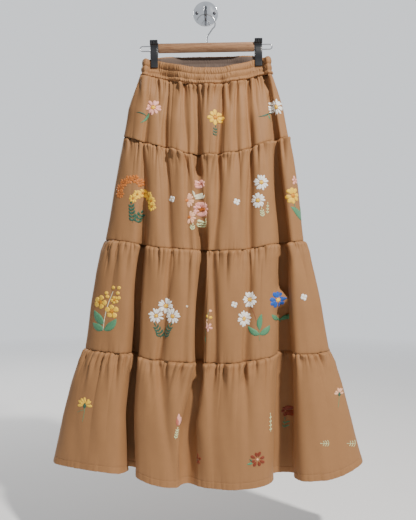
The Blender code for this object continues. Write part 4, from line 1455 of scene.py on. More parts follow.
@dataclass
class Needlework:
    """The embroidery of one panel, gathered as strokes and laid on its surface."""

    panel: TierPanel
    eye: Place
    focal: float
    centre: Point
    rings: int = 9
    sides: int = 8
    sunk: float = 0.00035
    petal_fill: float = 0.70
    sprig_stem: float = 0.0013
    guessed_depth: float = -0.12
    strokes: list[Stroke] = field(default_factory=list)

    def spot(self, photo: Point) -> Point:
        """Where a pixel of the photograph lies on the panel, as x and z.

        The depth of the cloth is found by three rounds of following the line of sight.
        """
        depth = self.guessed_depth
        for _ in range(3):
            away = (depth - self.eye[1]) / self.focal
            x = self.eye[0] + (photo[0] - self.centre[0]) * away
            z = self.eye[2] - (photo[1] - self.centre[1]) * away
            row, column = self.panel.locate(np.array([x]), np.array([z]))
            depth = float(self.panel.sample(row, column)[0][0, 1])
        return x, z

    def petals(self, at: Point, radius: float, count: int, width: float, thread: Thread, turn: float = 0.0,
               narrow: float = 1.0, inner: float = 0.22, spread: float = 360.0) -> None:
        """A ring or fan of petals round a point.

        Args:
            at: The middle of the flower, in x and z.
            radius: Its radius.
            count: How many petals.
            width: A petal's width.
            thread: Their thread.
            turn: The direction of the first one, in degrees.
            narrow: How much narrower the flower is than it is tall.
            inner: Where the petals start, as a share of the radius.
            spread: The angle that they fill, in degrees.
        """
        step = spread / count if spread >= 360.0 else spread / max(1, count - 1)
        for number in range(count):
            angle = math.radians(turn + number * step + 5.0 * math.sin(2.4 * number + turn))
            reach = radius * (1.0 + 0.06 * math.sin(3.1 * number + turn))
            out = (math.cos(angle) * narrow, math.sin(angle))
            start = (at[0] + inner * radius * out[0], at[1] + inner * radius * out[1])
            end = (at[0] + reach * out[0], at[1] + reach * out[1])
            self.strokes.append(Stroke(start, end, width, thread, Shape.PETAL, 0.05 * math.sin(1.7 * number)))

    def dot(self, at: Point, radius: float, thread: Thread) -> None:
        """A round pad."""
        start, end = (at[0] - radius, at[1]), (at[0] + radius, at[1])
        self.strokes.append(Stroke(start, end, 2.0 * radius, thread, Shape.ROUND))

    def flower(self, photo: Point, radius: float, count: int, thread: Thread, heart: Thread = YELLOW,
               full: float = 1.0, turn: float = 0.0, narrow: float = 1.0, heart_share: float = 0.30) -> Point:
        """An open flower: petals, then a heart ringed with small knots.

        Args:
            photo: Its middle, in pixels of the photograph.
            radius: Its radius in metres.
            count: How many petals.
            thread: The petals' thread.
            heart: The heart's thread.
            full: How much of the ring the petals fill: above 1 they overlap.
            turn: The direction of the first petal, in degrees.
            narrow: How much narrower than tall it is.
            heart_share: The heart's share of the radius.

        Returns:
            The flower's middle, in x and z.
        """
        at = self.spot(photo)
        width = full * 2.0 * math.pi * radius * self.petal_fill / count
        self.petals(at, radius, count, width, thread, turn, narrow)
        heart_radius = heart_share * radius
        self.dot(at, heart_radius * 0.82, heart)
        ring = heart_radius * 0.86
        for number in range(7):
            angle = 2.0 * math.pi * number / 7 + 0.3
            knot = (at[0] + ring * math.cos(angle) * narrow, at[1] + ring * math.sin(angle))
            self.dot(knot, heart_radius * 0.24, GOLD if heart is YELLOW else heart)
        return at

    def daisy(self, photo: Point, radius: float, turn: float, narrow: float = 1.0) -> None:
        """A white flower of thirteen petals with a yellow heart."""
        self.flower(photo, radius, 13, WHITE, YELLOW, turn=turn, narrow=narrow)

    def star(self, photo: Point, radius: float, width: float) -> None:
        """A tiny white flower of four petals, given their length and width."""
        at = self.spot(photo)
        self.petals(at, radius, 4, width, WHITE, 25.0, inner=0.0)
        self.dot(at, 0.0014, YELLOW)

    def leaf(self, start: Point, end: Point, width: float, thread: Thread, bend: float = 0.0) -> None:
        """One leaf between two pixels of the photograph."""
        ends = self.spot(start), self.spot(end)
        self.strokes.append(Stroke(*ends, width, thread, Shape.LEAF, bend))

    def stem(self, start: Point, end: Point, thread: Thread, bend: float = 0.0,
             width: float = 0.0016) -> None:
        """A stem between two pixels of the photograph."""
        ends = self.spot(start), self.spot(end)
        self.strokes.append(Stroke(*ends, width, thread, Shape.STEM, bend))

    def sprig(self, foot: Point, tip: Point, pairs: int, leaf: float, thread: Thread, bend: float = 0.0,
              slender: float = 0.36, angle: float = 42.0, bare: float = 0.12) -> None:
        """A stem with pairs of leaves that slant towards its tip, and one leaf at the tip.

        Args:
            foot: The stem's lower end, in pixels of the photograph.
            tip: Its upper end.
            pairs: How many pairs of leaves.
            leaf: A leaf's length in metres.
            thread: The thread.
            bend: How far the stem bows, as a share of its length.
            slender: A leaf's width as a share of its length.
            angle: How far the leaves turn from the stem, in degrees.
            bare: The share of the stem below the first pair.
        """
        start, end = np.array(self.spot(foot)), np.array(self.spot(tip))
        run = end - start
        side = np.array((-run[1], run[0]))
        self.strokes.append(Stroke(tuple(start), tuple(end), self.sprig_stem, thread, Shape.STEM, bend))
        for number in range(pairs):
            share = bare + (1.0 - bare) * number / pairs
            foot_point = start + share * run + 4.0 * bend * share * (1.0 - share) * side
            heading = run + 4.0 * bend * (1.0 - 2.0 * share) * side
            length = leaf * (1.0 - 0.25 * share)
            for hand in (-1.0, 1.0):
                turn = math.radians(hand * angle) + math.atan2(heading[1], heading[0])
                point = foot_point + length * np.array((math.cos(turn), math.sin(turn)))
                ends = tuple(foot_point), tuple(point)
                self.strokes.append(Stroke(*ends, slender * leaf, thread, Shape.LEAF, 0.10 * hand))
        past = end + run / np.linalg.norm(run) * leaf * 0.6
        ends = tuple(end - 0.1 * (past - end)), tuple(past)
        self.strokes.append(Stroke(*ends, slender * leaf * 0.9, thread, Shape.LEAF))

    def build(self) -> MeshData:
        """All strokes at once, as closed pads of thread.

        A stroke's line is its chord plus a parabola of height bend times its length. Round
        that line go ellipses whose width is the outline's and whose top is raised by the
        square root of it; the lower half is sunk into the cloth.

        Returns:
            The mesh's arrays, with each stroke's thread number as its finish.
        """
        start = np.array([stroke.start for stroke in self.strokes])[:, None]
        run = np.array([stroke.end for stroke in self.strokes])[:, None] - start
        side = packed(-run[..., 1], run[..., 0])
        bend = np.array([stroke.bend for stroke in self.strokes])[:, None, None]
        skew, blunt, raised = np.array([stroke.shape.value for stroke in self.strokes]).T[..., None]
        width = np.array([stroke.width for stroke in self.strokes])[:, None]
        share = 0.015 + 0.97 * 0.5 * (1.0 - np.cos(math.pi * np.linspace(0.0, 1.0, self.rings)))[None, :]
        fullness = np.sin(math.pi * share**skew).clip(0.01) ** blunt
        t = share[..., None]
        line = start + t * run + 4.0 * bend * t * (1.0 - t) * side
        heading = unit(run + 4.0 * bend * (1.0 - 2.0 * t) * side)
        outwards = -self.panel.side.sign
        across = outwards * packed(-heading[..., 1], heading[..., 0])
        turn = turns(self.sides)
        half = (0.5 * width * fullness)[..., None, None]
        flat = line[:, :, None] + half * np.cos(turn)[None, None, :, None] * across[:, :, None]
        top = (raised * np.sqrt(fullness))[..., None] * np.sin(turn).clip(0)
        bottom = self.sunk * np.sin(turn).clip(None, 0)
        points = self.panel.on_cloth(flat[..., 0], flat[..., 1], top + bottom)
        length = np.linalg.norm(run[:, 0], axis=-1)
        scale = packed(length, 2.0 * width[:, 0])
        finish = np.array([THREAD_NUMBER[stroke.thread] for stroke in self.strokes])
        return lofts(points, scale, finish)


def embroider_front_1(pen: Needlework) -> None:
    """A pink, a yellow and a white flower on the front of the first tier."""
    pen.leaf((149.5, 112.0), (140.0, 123.0), 0.0062, GREEN, 0.12)
    pen.leaf((146.5, 116.5), (136.8, 112.6), 0.0036, DARK_GREEN, -0.10)
    pen.stem((151.0, 110.0), (143.5, 119.5), DARK_GREEN)
    pen.flower((153.3, 107.4), 0.0195, 10, PINK, YELLOW, turn=12.0)
    pen.sprig((215.2, 136.0), (215.4, 127.0), 3, 0.0100, DARK_GREEN, angle=40.0, bare=0.05)
    pen.flower((215.3, 117.2), 0.0188, 8, YELLOW, GOLD, turn=90.0)
    pen.leaf((270.8, 113.0), (258.0, 116.6), 0.0040, DARK_GREEN, 0.08)
    pen.leaf((268.5, 115.0), (272.2, 121.0), 0.0050, GREEN, -0.15)
    pen.stem((273.0, 111.0), (266.0, 116.0), DARK_GREEN)
    pen.daisy((276.3, 106.9), 0.0198, 5.0)


def embroider_front_2(pen: Needlework) -> None:
    """Two arches of florets, a pink spray, daisies and a yellow flower."""
    arch = ((119.8, 194.0), (120.2, 188.0), (123.6, 182.6), (129.0, 179.4), (134.8, 178.8), (140.2, 182.6))
    for number, photo in enumerate(arch):
        pen.flower(photo, 0.0108, 8, ORANGE, ORANGE, 1.1, 40.0 * number, heart_share=0.2)
    arch = ((133.0, 198.4), (137.4, 194.4), (143.0, 193.4), (148.2, 196.2), (151.2, 201.0), (151.8, 206.6))
    for number, photo in enumerate(arch):
        pen.flower(photo, 0.0108, 8, YELLOW, GOLD, 1.1, 33.0 * number, heart_share=0.2)
    pen.sprig((132.8, 223.0), (131.2, 203.6), 5, 0.0135, DARK_GREEN, slender=0.46)
    pen.sprig((135.6, 223.0), (141.2, 213.0), 3, 0.0140, DARK_GREEN, slender=0.46)
    pen.star((171.3, 198.8), 0.0082, 0.0084)
    pen.star((236.9, 201.7), 0.0082, 0.0084)
    pen.petals(pen.spot((199.2, 183.9)), 0.0108, 6, 0.0070, PINK, 20.0, inner=0.1)
    pen.petals(pen.spot((199.2, 183.9)), 0.0050, 4, 0.0032, ROSE, 60.0, inner=0.1)
    for start, end in (((195.6, 197.0), (192.6, 190.4)), ((197.0, 198.2), (193.8, 194.8)),
                       ((197.6, 199.2), (203.0, 194.6)), ((198.0, 198.0), (199.6, 192.8))):
        pen.leaf(start, end, 0.0058, CREAM)
    for photo, radius, turn, spread in (((187.0, 200.4), 0.0180, -72.0, 150.0),
                                        ((189.3, 217.2), 0.0165, -95.0, 170.0)):
        pen.petals(pen.spot(photo), radius, 7, 0.0066, PEACH, turn, inner=0.15, spread=spread)
        pen.dot(pen.spot(photo), 0.0040, ORANGE)
    pen.flower((200.6, 209.2), 0.0178, 11, PINK, ORANGE, full=1.1, heart_share=0.22)
    pen.sprig((192.0, 230.2), (192.8, 225.4), 2, 0.0100, PALE_GREEN)
    pen.sprig((198.2, 227.6), (201.4, 220.4), 3, 0.0095, PALE_GREEN)
    pen.sprig((262.8, 217.0), (261.6, 209.4), 3, 0.0085, PALE_GREEN)
    pen.sprig((267.2, 214.0), (267.4, 203.6), 3, 0.0062, PALE_GREEN)
    pen.daisy((261.0, 182.4), 0.0188, 8.0, 0.88)
    pen.daisy((258.0, 200.4), 0.0184, 28.0, 0.88)
    pen.petals(pen.spot((294.2, 180.6)), 0.0112, 5, 0.0066, PINK, 30.0, 0.8, inner=0.1)
    pen.leaf((303.0, 222.0), (290.2, 206.6), 0.0180, GREEN, -0.06)
    pen.leaf((302.6, 218.0), (300.6, 204.0), 0.0100, GREEN, 0.06)
    pen.stem((292.2, 200.0), (296.0, 211.0), GREEN)
    pen.flower((292.4, 195.6), 0.0205, 8, YELLOW, GOLD, full=0.98, turn=10.0, narrow=0.80)


def embroider_front_3(pen: Needlework) -> None:
    """A yellow branch, daisies with ferns, a pink sprig and a blue flower."""
    pen.leaf((104.4, 324.0), (94.2, 310.0), 0.0215, GREEN, 0.08)
    pen.leaf((104.0, 329.0), (92.6, 322.6), 0.0190, GREEN, 0.10)
    pen.leaf((104.0, 330.0), (116.4, 318.6), 0.0200, GREEN, -0.10)
    pen.stem((103.0, 331.4), (113.4, 291.0), CREAM, 0.05, 0.0020)
    pen.flower((100.4, 302.2), 0.0166, 5, YELLOW, GOLD, full=1.0, turn=70.0)
    pen.flower((111.8, 311.4), 0.0166, 5, YELLOW, GOLD, full=1.0, turn=20.0)
    pen.flower((114.6, 300.0), 0.0098, 5, YELLOW, GOLD, full=1.0, turn=40.0)
    buds = ((106.7, 293.0), (113.4, 287.6), (119.2, 287.8), (117.9, 293.2), (107.6, 296.6), (119.0, 298.0))
    for photo in buds:
        pen.dot(pen.spot(photo), 0.0046, YELLOW)
    pen.sprig((160.4, 338.4), (155.4, 325.6), 4, 0.0135, DARK_GREEN, -0.08, 0.34)
    pen.sprig((165.0, 338.8), (170.8, 325.6), 4, 0.0135, DARK_GREEN, 0.08, 0.34)
    pen.daisy((165.6, 305.8), 0.0180, 10.0)
    pen.daisy((156.0, 315.8), 0.0176, 30.0)
    pen.daisy((172.5, 316.2), 0.0180, 50.0)
    pen.leaf((202.6, 344.0), (203.8, 333.0), 0.0062, GREEN, 0.10)
    pen.stem((204.0, 334.0), (209.6, 312.0), GREEN, 0.06)
    pen.petals(pen.spot((208.6, 327.2)), 0.0108, 5, 0.0062, PINK, 50.0, inner=0.1)
    pen.petals(pen.spot((205.6, 322.0)), 0.0078, 3, 0.0052, PEACH, 60.0, inner=0.1)
    for photo, thread in (((207.0, 316.2), YELLOW), ((211.2, 317.6), YELLOW), ((211.0, 311.0), PEACH)):
        pen.dot(pen.spot(photo), 0.0036, thread)
    for photo, size in (((234.4, 304.6), 0.9), ((304.0, 297.1), 1.0), ((140.4, 302.2), 0.5),
                        ((187.0, 306.4), 0.3)):
        pen.star(photo, 0.0086 * size, 0.0088 * size)
    pen.stem((259.8, 341.0), (259.6, 318.0), GREEN, 0.02)
    pen.leaf((259.8, 334.4), (247.8, 326.0), 0.0160, GREEN, 0.12)
    pen.leaf((259.6, 334.4), (269.8, 325.0), 0.0165, GREEN, -0.12)
    pen.leaf((259.8, 330.0), (262.0, 313.8), 0.0150, GREEN, 0.08)
    pen.stem((250.6, 306.0), (256.4, 322.0), BRICK, 0.04, 0.0010)
    pen.daisy((249.6, 299.6), 0.0190, 14.0, 0.82)
    pen.daisy((244.2, 318.8), 0.0190, 34.0, 0.82)
    pen.stem((279.6, 306.0), (281.0, 322.0), GREEN)
    pen.leaf((279.2, 318.6), (271.8, 314.4), 0.0125, GREEN, 0.10)
    pen.leaf((280.6, 319.8), (289.0, 314.0), 0.0110, GREEN, -0.10)
    pen.flower((278.1, 299.9), 0.0204, 9, BLUE, YELLOW, full=1.1, turn=10.0, narrow=1.05)


def embroider_front_4(pen: Needlework) -> None:
    """Small scattered flowers and sprigs above the hem."""
    pen.stem((84.4, 406.0), (82.2, 422.0), GREEN, 0.05, 0.0012)
    pen.stem((84.0, 410.0), (77.0, 412.4), GREEN, -0.06, 0.0010)
    pen.petals(pen.spot((84.6, 405.6)), 0.0190, 7, 0.0070, YELLOW, 0.0, inner=0.2, spread=180.0)
    pen.leaf((84.4, 408.6), (84.8, 402.6), 0.0085, DARK_GREEN)
    pen.sprig((175.4, 439.4), (177.4, 428.6), 4, 0.0070, PALE_GREEN, slender=0.34, angle=35.0)
    for start, end, thread in (((177.6, 426.0), (177.0, 417.6), ROSE), ((178.6, 425.4), (181.0, 416.6), PINK),
                               ((178.4, 421.0), (178.8, 413.6), PINK)):
        pen.leaf(start, end, 0.0078, thread)
    pen.petals(pen.spot((195.4, 459.0)), 0.0128, 5, 0.0070, BRICK, 90.0, 0.85, inner=0.15)
    pen.leaf((194.4, 459.4), (191.0, 461.0), 0.0034, DARK_GREEN)
    pen.leaf((253.6, 461.2), (246.6, 464.4), 0.0062, GREEN, 0.12)
    pen.leaf((253.0, 462.4), (249.4, 459.0), 0.0038, DARK_GREEN)
    pen.petals(pen.spot((257.6, 459.4)), 0.0178, 8, 0.0082, BRICK, 18.0, inner=0.28)
    pen.dot(pen.spot((257.6, 459.4)), 0.0026, PEACH)
    pen.sprig((270.8, 432.0), (270.4, 414.0), 4, 0.0052, PALE_GREEN)
    # Painted shade: this flower lies in the right fold's shade and is stitched in the dark brick thread,
    # darker than the salmon it has in light
    pen.petals(pen.spot((285.6, 411.0)), 0.0140, 6, 0.0080, BRICK, 10.0, 0.7, inner=0.1)
    pen.sprig((284.4, 428.0), (285.0, 419.0), 2, 0.0085, GREEN)
    pen.stem((339.2, 394.0), (338.0, 408.0), GREEN, 0.04, 0.0012)
    pen.petals(pen.spot((339.4, 393.6)), 0.0135, 6, 0.0056, PEACH, 5.0, inner=0.2, spread=170.0)
    pen.leaf((339.4, 396.4), (339.6, 391.6), 0.0080, DARK_GREEN)
    for x in (320.6, 347.0):
        pen.sprig((x + 8.8, 443.2), (x + 1.4, 443.4), 3, 0.0092, PALE_GREEN, 0.0, 0.21, 56.0, 0.04)


def embroider_back(pen: Needlework) -> None:
    """The hidden back's flowers: the same kinds, scattered in another order."""
    tier = pen.panel.cut.number
    half = float(pen.panel.form.at("half_width", tier + 0.5))
    middle = 0.5 * (SIDE_HEIGHT[tier] + SIDE_HEIGHT[tier + 1])
    reach = 0.28 * (SIDE_HEIGHT[tier] - SIDE_HEIGHT[tier + 1])
    threads = (WHITE, YELLOW, PINK, WHITE, ORANGE, BLUE, PEACH)
    count = 3 + tier
    for number in range(count):
        x = half * (0.78 * (2.0 * number / (count - 1) - 1.0) + 0.05 * math.sin(5.0 * number + tier))
        z = middle + reach * math.sin(2.2 * number + 1.3 * tier)
        thread = threads[(2 * number + 3 * tier) % len(threads)]
        radius = 0.0150 + 0.0035 * math.sin(1.9 * number + tier)
        pen.strokes.append(Stroke((x, z), (x + 0.006, z - 0.046), 0.0016, GREEN, Shape.STEM, 0.06))
        for hand in (-1.0, 1.0):
            foot, tip = (x + 0.004, z - 0.036), (x + 0.004 + 0.017 * hand, z - 0.026)
            pen.strokes.append(Stroke(foot, tip, 0.0065, GREEN, Shape.LEAF, -0.1 * hand))
        petals = 5 + (number + tier) % 5
        pen.petals((x, z), radius, petals, 4.2 * radius / petals, thread, 31.0 * number)
        pen.dot((x, z), 0.26 * radius, GOLD if thread is YELLOW else YELLOW)


EMBROIDER_FRONT = {1: embroider_front_1, 2: embroider_front_2, 3: embroider_front_3, 4: embroider_front_4}


@dataclass(frozen=True)
class Stitching:
    """Runs of short lockstitches along a surface."""

    pitch: float = 0.0038
    length: float = 0.0028
    thickness: float = 0.00050
    rings: int = 3
    sides: int = 4

    def along(self, points: Array, normals: Array) -> MeshData:
        """Stitches along a line of close points: each a thin pad, thickest in its middle.

        Args:
            points: Shape (points, 3).
            normals: The surface's unit normals there.

        Returns:
            The mesh's arrays.
        """
        length = along(points[None])[0]
        count = int(length[-1] / self.pitch)
        share = np.linspace(0.0, 1.0, self.rings)
        at = (np.arange(count)[:, None] + 0.15) * self.pitch + share[None, :] * self.length
        line = np.stack([np.interp(at, length, points[:, axis]) for axis in range(3)], axis=-1)
        out = unit(np.stack([np.interp(at, length, normals[:, axis]) for axis in range(3)], axis=-1))
        side = unit(np.cross(out, np.gradient(line, axis=1)))
        radius = 0.5 * self.thickness * (0.55 + 0.45 * np.sin(math.pi * share))[None, :, None, None]
        turn = turns(self.sides)
        raised = np.sin(turn)[:, None] * out[:, :, None] + np.cos(turn)[:, None] * side[:, :, None]
        centre = line + out * 0.1 * self.thickness
        return lofts(centre[:, :, None] + radius * raised)


def tube(path: Array, radius: Array | float, sides: int = 16) -> Array:
    """Rings round a path, as one solid of rings for lofts.

    Each ring is a circle square to the path. Its first direction is the last ring's, less
    what lies along the path, so that the tube doesn't twist.

    Args:
        path: Shape (points, 3).
        radius: One radius, or one for each point.
        sides: Points in a ring.

    Returns:
        Shape (1, points, sides, 3).
    """
    heading = unit(np.gradient(path, axis=0))
    side = np.array((0.0, 1.0, 0.0)) if abs(heading[0, 1]) < 0.9 else np.array((1.0, 0.0, 0.0))
    sides_at = np.empty_like(path)
    for number, direction in enumerate(heading):
        side = unit(side - direction * (side @ direction))
        sides_at[number] = side
    up = np.cross(heading, sides_at)
    turn = turns(sides, 0.0)
    radius = np.broadcast_to(radius, len(path))[:, None, None]
    circle = np.cos(turn)[None, :, None] * sides_at[:, None] + np.sin(turn)[None, :, None] * up[:, None]
    return (path[:, None] + radius * circle)[None]


def arc(centre: Point, radius: float, start: float, end: float, count: int) -> Array:
    """Points on an arc in x and z, with angles in degrees from +X towards +Z."""
    angle = np.radians(np.linspace(start, end, count))
    x, z = centre[0] + radius * np.cos(angle), centre[1] + radius * np.sin(angle)
    return np.stack([x, np.zeros(count), z], axis=1)


def smooth_route(points: Array, count: int) -> Array:
    """A smooth route through a few points, with even steps along it."""
    length = along(points[None])[0]
    at = np.linspace(0.0, length[-1], count)
    return np.stack([curve_through(length, points[:, axis], at) for axis in range(3)], axis=1)


@dataclass(frozen=True)
class Hanger:
    """The wooden bar, its wire hook, the wire loops and the two clips, which lean together."""

    bar_length: float = 0.2405
    bar_height: float = 0.0235
    bar_depth: float = 0.013
    bar_top: float = -0.0885
    bar_rounding: float = 0.0034
    underside: Point = (0.0063, 0.0105)
    wire: float = 0.0028
    spread: float = 0.0122
    tip: float = 0.1664
    hook_wire: float = 0.0034
    hook_radius: float = 0.0237
    hook_bends: tuple[Point, ...] = (
        (0.0160, -0.0380), (0.0090, -0.0480), (0.0045, -0.0545), (0.0030, -0.0610),
    )
    clip_width: float = 0.0200
    arm_width: float = 0.0186
    jaw_thickness: float = 0.0030
    ribs: int = 3
    rib: float = 0.0018
    core_length: float = 0.016
    core_depth: float = 0.0030
    seat: float = 0.0003

    @property
    def middle(self) -> float:
        """The height of the bar's middle, counted from the crown of the hook."""
        return self.bar_top - self.bar_height / 2 - CROWN_HEIGHT

    def placed(self, points: Array) -> Array:
        """Points given from the crown of the hook, leaned and moved to where it hangs."""
        x, z = points[..., 0], points[..., 2]
        lean_cos, lean_sin = math.cos(HANGER_LEAN), math.sin(HANGER_LEAN)
        across, up = x * lean_cos - z * lean_sin, z * lean_cos + x * lean_sin
        return packed(across, points[..., 1], up) + np.array((0.0, HANGER_Y, CROWN_HEIGHT))

    def bar(self) -> Array:
        """Rings of the bar, drawn in along a quarter circle at both ends.

        Its top edges are rounded. Its lower ones are nearly flat chamfers, the cosine and
        the sine of a turn to the power 1.7.
        """
        turn = np.linspace(0.0, math.pi / 2, 7)
        inset = self.bar_rounding * (1.0 - np.sin(turn)) * 0.7
        step = self.bar_rounding * 0.7 * (1.0 - np.cos(turn))
        half = self.bar_length / 2
        x = np.concatenate([-half + step, np.linspace(-0.9, 0.9, 9) * half, half - step[::-1]])
        shrink = np.concatenate([inset, np.zeros(9), inset[::-1]])
        angle = turns(32)
        above = np.sin(angle) > 0
        round_y, round_z = (np.where(above, self.bar_rounding, lower) for lower in self.underside)
        power = np.where(above, 1.0, 1.7)
        cos, sin = np.cos(angle), np.sin(angle)
        y = np.sign(cos) * (self.bar_depth / 2 - round_y + round_y * np.abs(cos) ** power)
        z = np.sign(sin) * (self.bar_height / 2 - round_z + round_z * np.abs(sin) ** power)
        scale_y = (self.bar_depth / 2 - shrink) / (self.bar_depth / 2)
        scale_z = (self.bar_height / 2 - shrink) / (self.bar_height / 2)
        y, z = y[None] * scale_y[:, None], z[None] * scale_z[:, None] + self.middle
        return packed(x[:, None], y, z)[None]

    def hook(self) -> Array:
        """Rings of the question-mark hook: an arc, then a smooth stem down to the bar's top."""
        bow = arc((0.0, -self.hook_radius), self.hook_radius, 157.0, -14.0, 60)
        bends = [(x, 0.0, z) for x, z in self.hook_bends]
        foot = (self.hook_bends[-1][0], 0.0, self.bar_top + self.seat - CROWN_HEIGHT)
        stem = smooth_route(np.array([bow[-4], bow[-1], *bends, foot]), 34)
        path = np.concatenate([bow[:-4], stem])
        return tube(path, self.hook_wire / 2)

    def rail(self, sign: float) -> Array:
        """Rings of the wire loop at one end of the bar."""
        start = self.bar_length / 2 + self.seat
        bend = self.tip - self.spread / 2 - self.wire / 2
        end = arc((bend, self.middle), self.spread / 2, 90.0, -90.0, 24)
        straight = np.linspace(start, bend, 8)[:-1]
        top = np.stack([straight, np.zeros(7), np.full(7, self.middle + self.spread / 2)], axis=1)
        bottom = top[::-1] - np.array((0.0, 0.0, self.spread))
        path = np.concatenate([top, end, bottom]) * np.array((sign, 1.0, 1.0))
        return tube(path, self.wire / 2)

    def jaw(self, x: float, side: float) -> Array:
        """Rings of one jaw, from its grip to its pad: a flat plate with ribs on the grip.

        The ribs are the cosine of three half turns across the grip to the power 0.7.

        Args:
            x: The middle of the clip.
            side: -1 for the front jaw and 1 for the back one.

        Returns:
            Shape (1, rings, points, 3).
        """
        # Height from the bar's middle, distance from the middle plane, and 1 on the grip
        table = (
            (0.0182, 0.0105, 1.0), (0.0176, 0.0104, 1.0), (0.0102, 0.0085, 1.0), (0.0076, 0.0055, 1.0),
            (0.0066, 0.0046, 0.0), (0.0044, 0.0033, 0.0), (-0.0044, 0.0033, 0.0), (-0.0082, 0.0052, 0.0),
            (-0.0120, 0.0060, 0.0), (-0.0190, 0.0058, 0.0), (-0.0268, 0.0052, 0.0), (-0.0300, 0.0042, 0.0),
            (-0.0318, 0.0036, 0.0), (-0.0400, 0.0036, 0.0), (-0.0484, 0.0036, 0.0), (-0.0488, 0.0036, 0.0),
        )
        above, stand_off, ribbed = np.array(table).T[..., None]
        across = np.linspace(-0.5, 0.5, 25)[None, :]
        ends = np.sqrt(1.0 - (2.0 * np.abs(across)) ** 8)
        ridge = np.abs(np.cos(self.ribs * math.pi * across)) ** 0.7
        width = np.where(ribbed > 0, self.clip_width, self.arm_width)
        closing = np.ones(len(table))
        closing[[0, -1]] = 0.55
        thick = self.jaw_thickness * (0.55 + 0.45 * ends) + ribbed * self.rib * ridge * ends
        places = x + across * width
        far, near = (
            packed(places, side * out, self.middle + above)
            for out in (stand_off + thick * closing[:, None], stand_off)
        )
        ring = np.concatenate([far, near[:, ::-1]], axis=1)
        return ring[None] if side > 0 else ring[None, :, ::-1]

    def core(self, x: float) -> Array:
        """Rings of the block between the jaws, with softened ends."""
        shares = np.array((-0.5, -0.47, 0.47, 0.5))
        scale = np.array((0.86, 1.0, 1.0, 0.86))[:, None]
        angle = turns(16)
        height = self.spread - self.wire - 2 * self.seat
        y = np.sign(np.cos(angle)) * np.abs(np.cos(angle)) ** 0.2 * self.core_depth * scale
        z = np.sign(np.sin(angle)) * np.abs(np.sin(angle)) ** 0.2 * height / 2 * scale
        places = x + self.core_length * shares[:, None]
        return packed(places, y, self.middle + z)[None]

    def piece(self, name: str, rings: Array, finish: Material, slot: str, node: str) -> None:
        """Makes one piece that stands for a node."""
        length = float(along(rings[0].mean(axis=1)[None])[0, -1])
        piece = make_mesh(name, lofts(self.placed(rings), np.array([[length, length]])), [finish])
        piece.data.set_sharp_from_angle(angle=math.radians(40.0))
        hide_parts(node)

    def build(self, wood: Material, steel: Material, plastic: Material) -> None:
        """Makes the bar, the wires and the clips.

        Args:
            wood: The bar's finish.
            steel: The wires' finish.
            plastic: The clips' finish.
        """
        self.piece("wooden_bar", self.bar(), wood, "wood", "hanger_bar")
        self.piece("wire_hook", self.hook(), steel, "steel", "hanger_hook")
        for side, sign in (("left", -1.0), ("right", 1.0)):
            self.piece(f"wire_loop_{side}", self.rail(sign), steel, "steel", f"rail_{side}")
            x = sign * CLIP_X
            self.piece(f"{side}_clip_front", self.jaw(x, -1.0), plastic, "plastic", f"clip_{side}_front_jaw")
            self.piece(f"{side}_clip_back", self.jaw(x, 1.0), plastic, "plastic", f"clip_{side}_back_jaw")
            self.piece(f"{side}_clip_core", self.core(x), plastic, "plastic", f"clip_{side}_core")


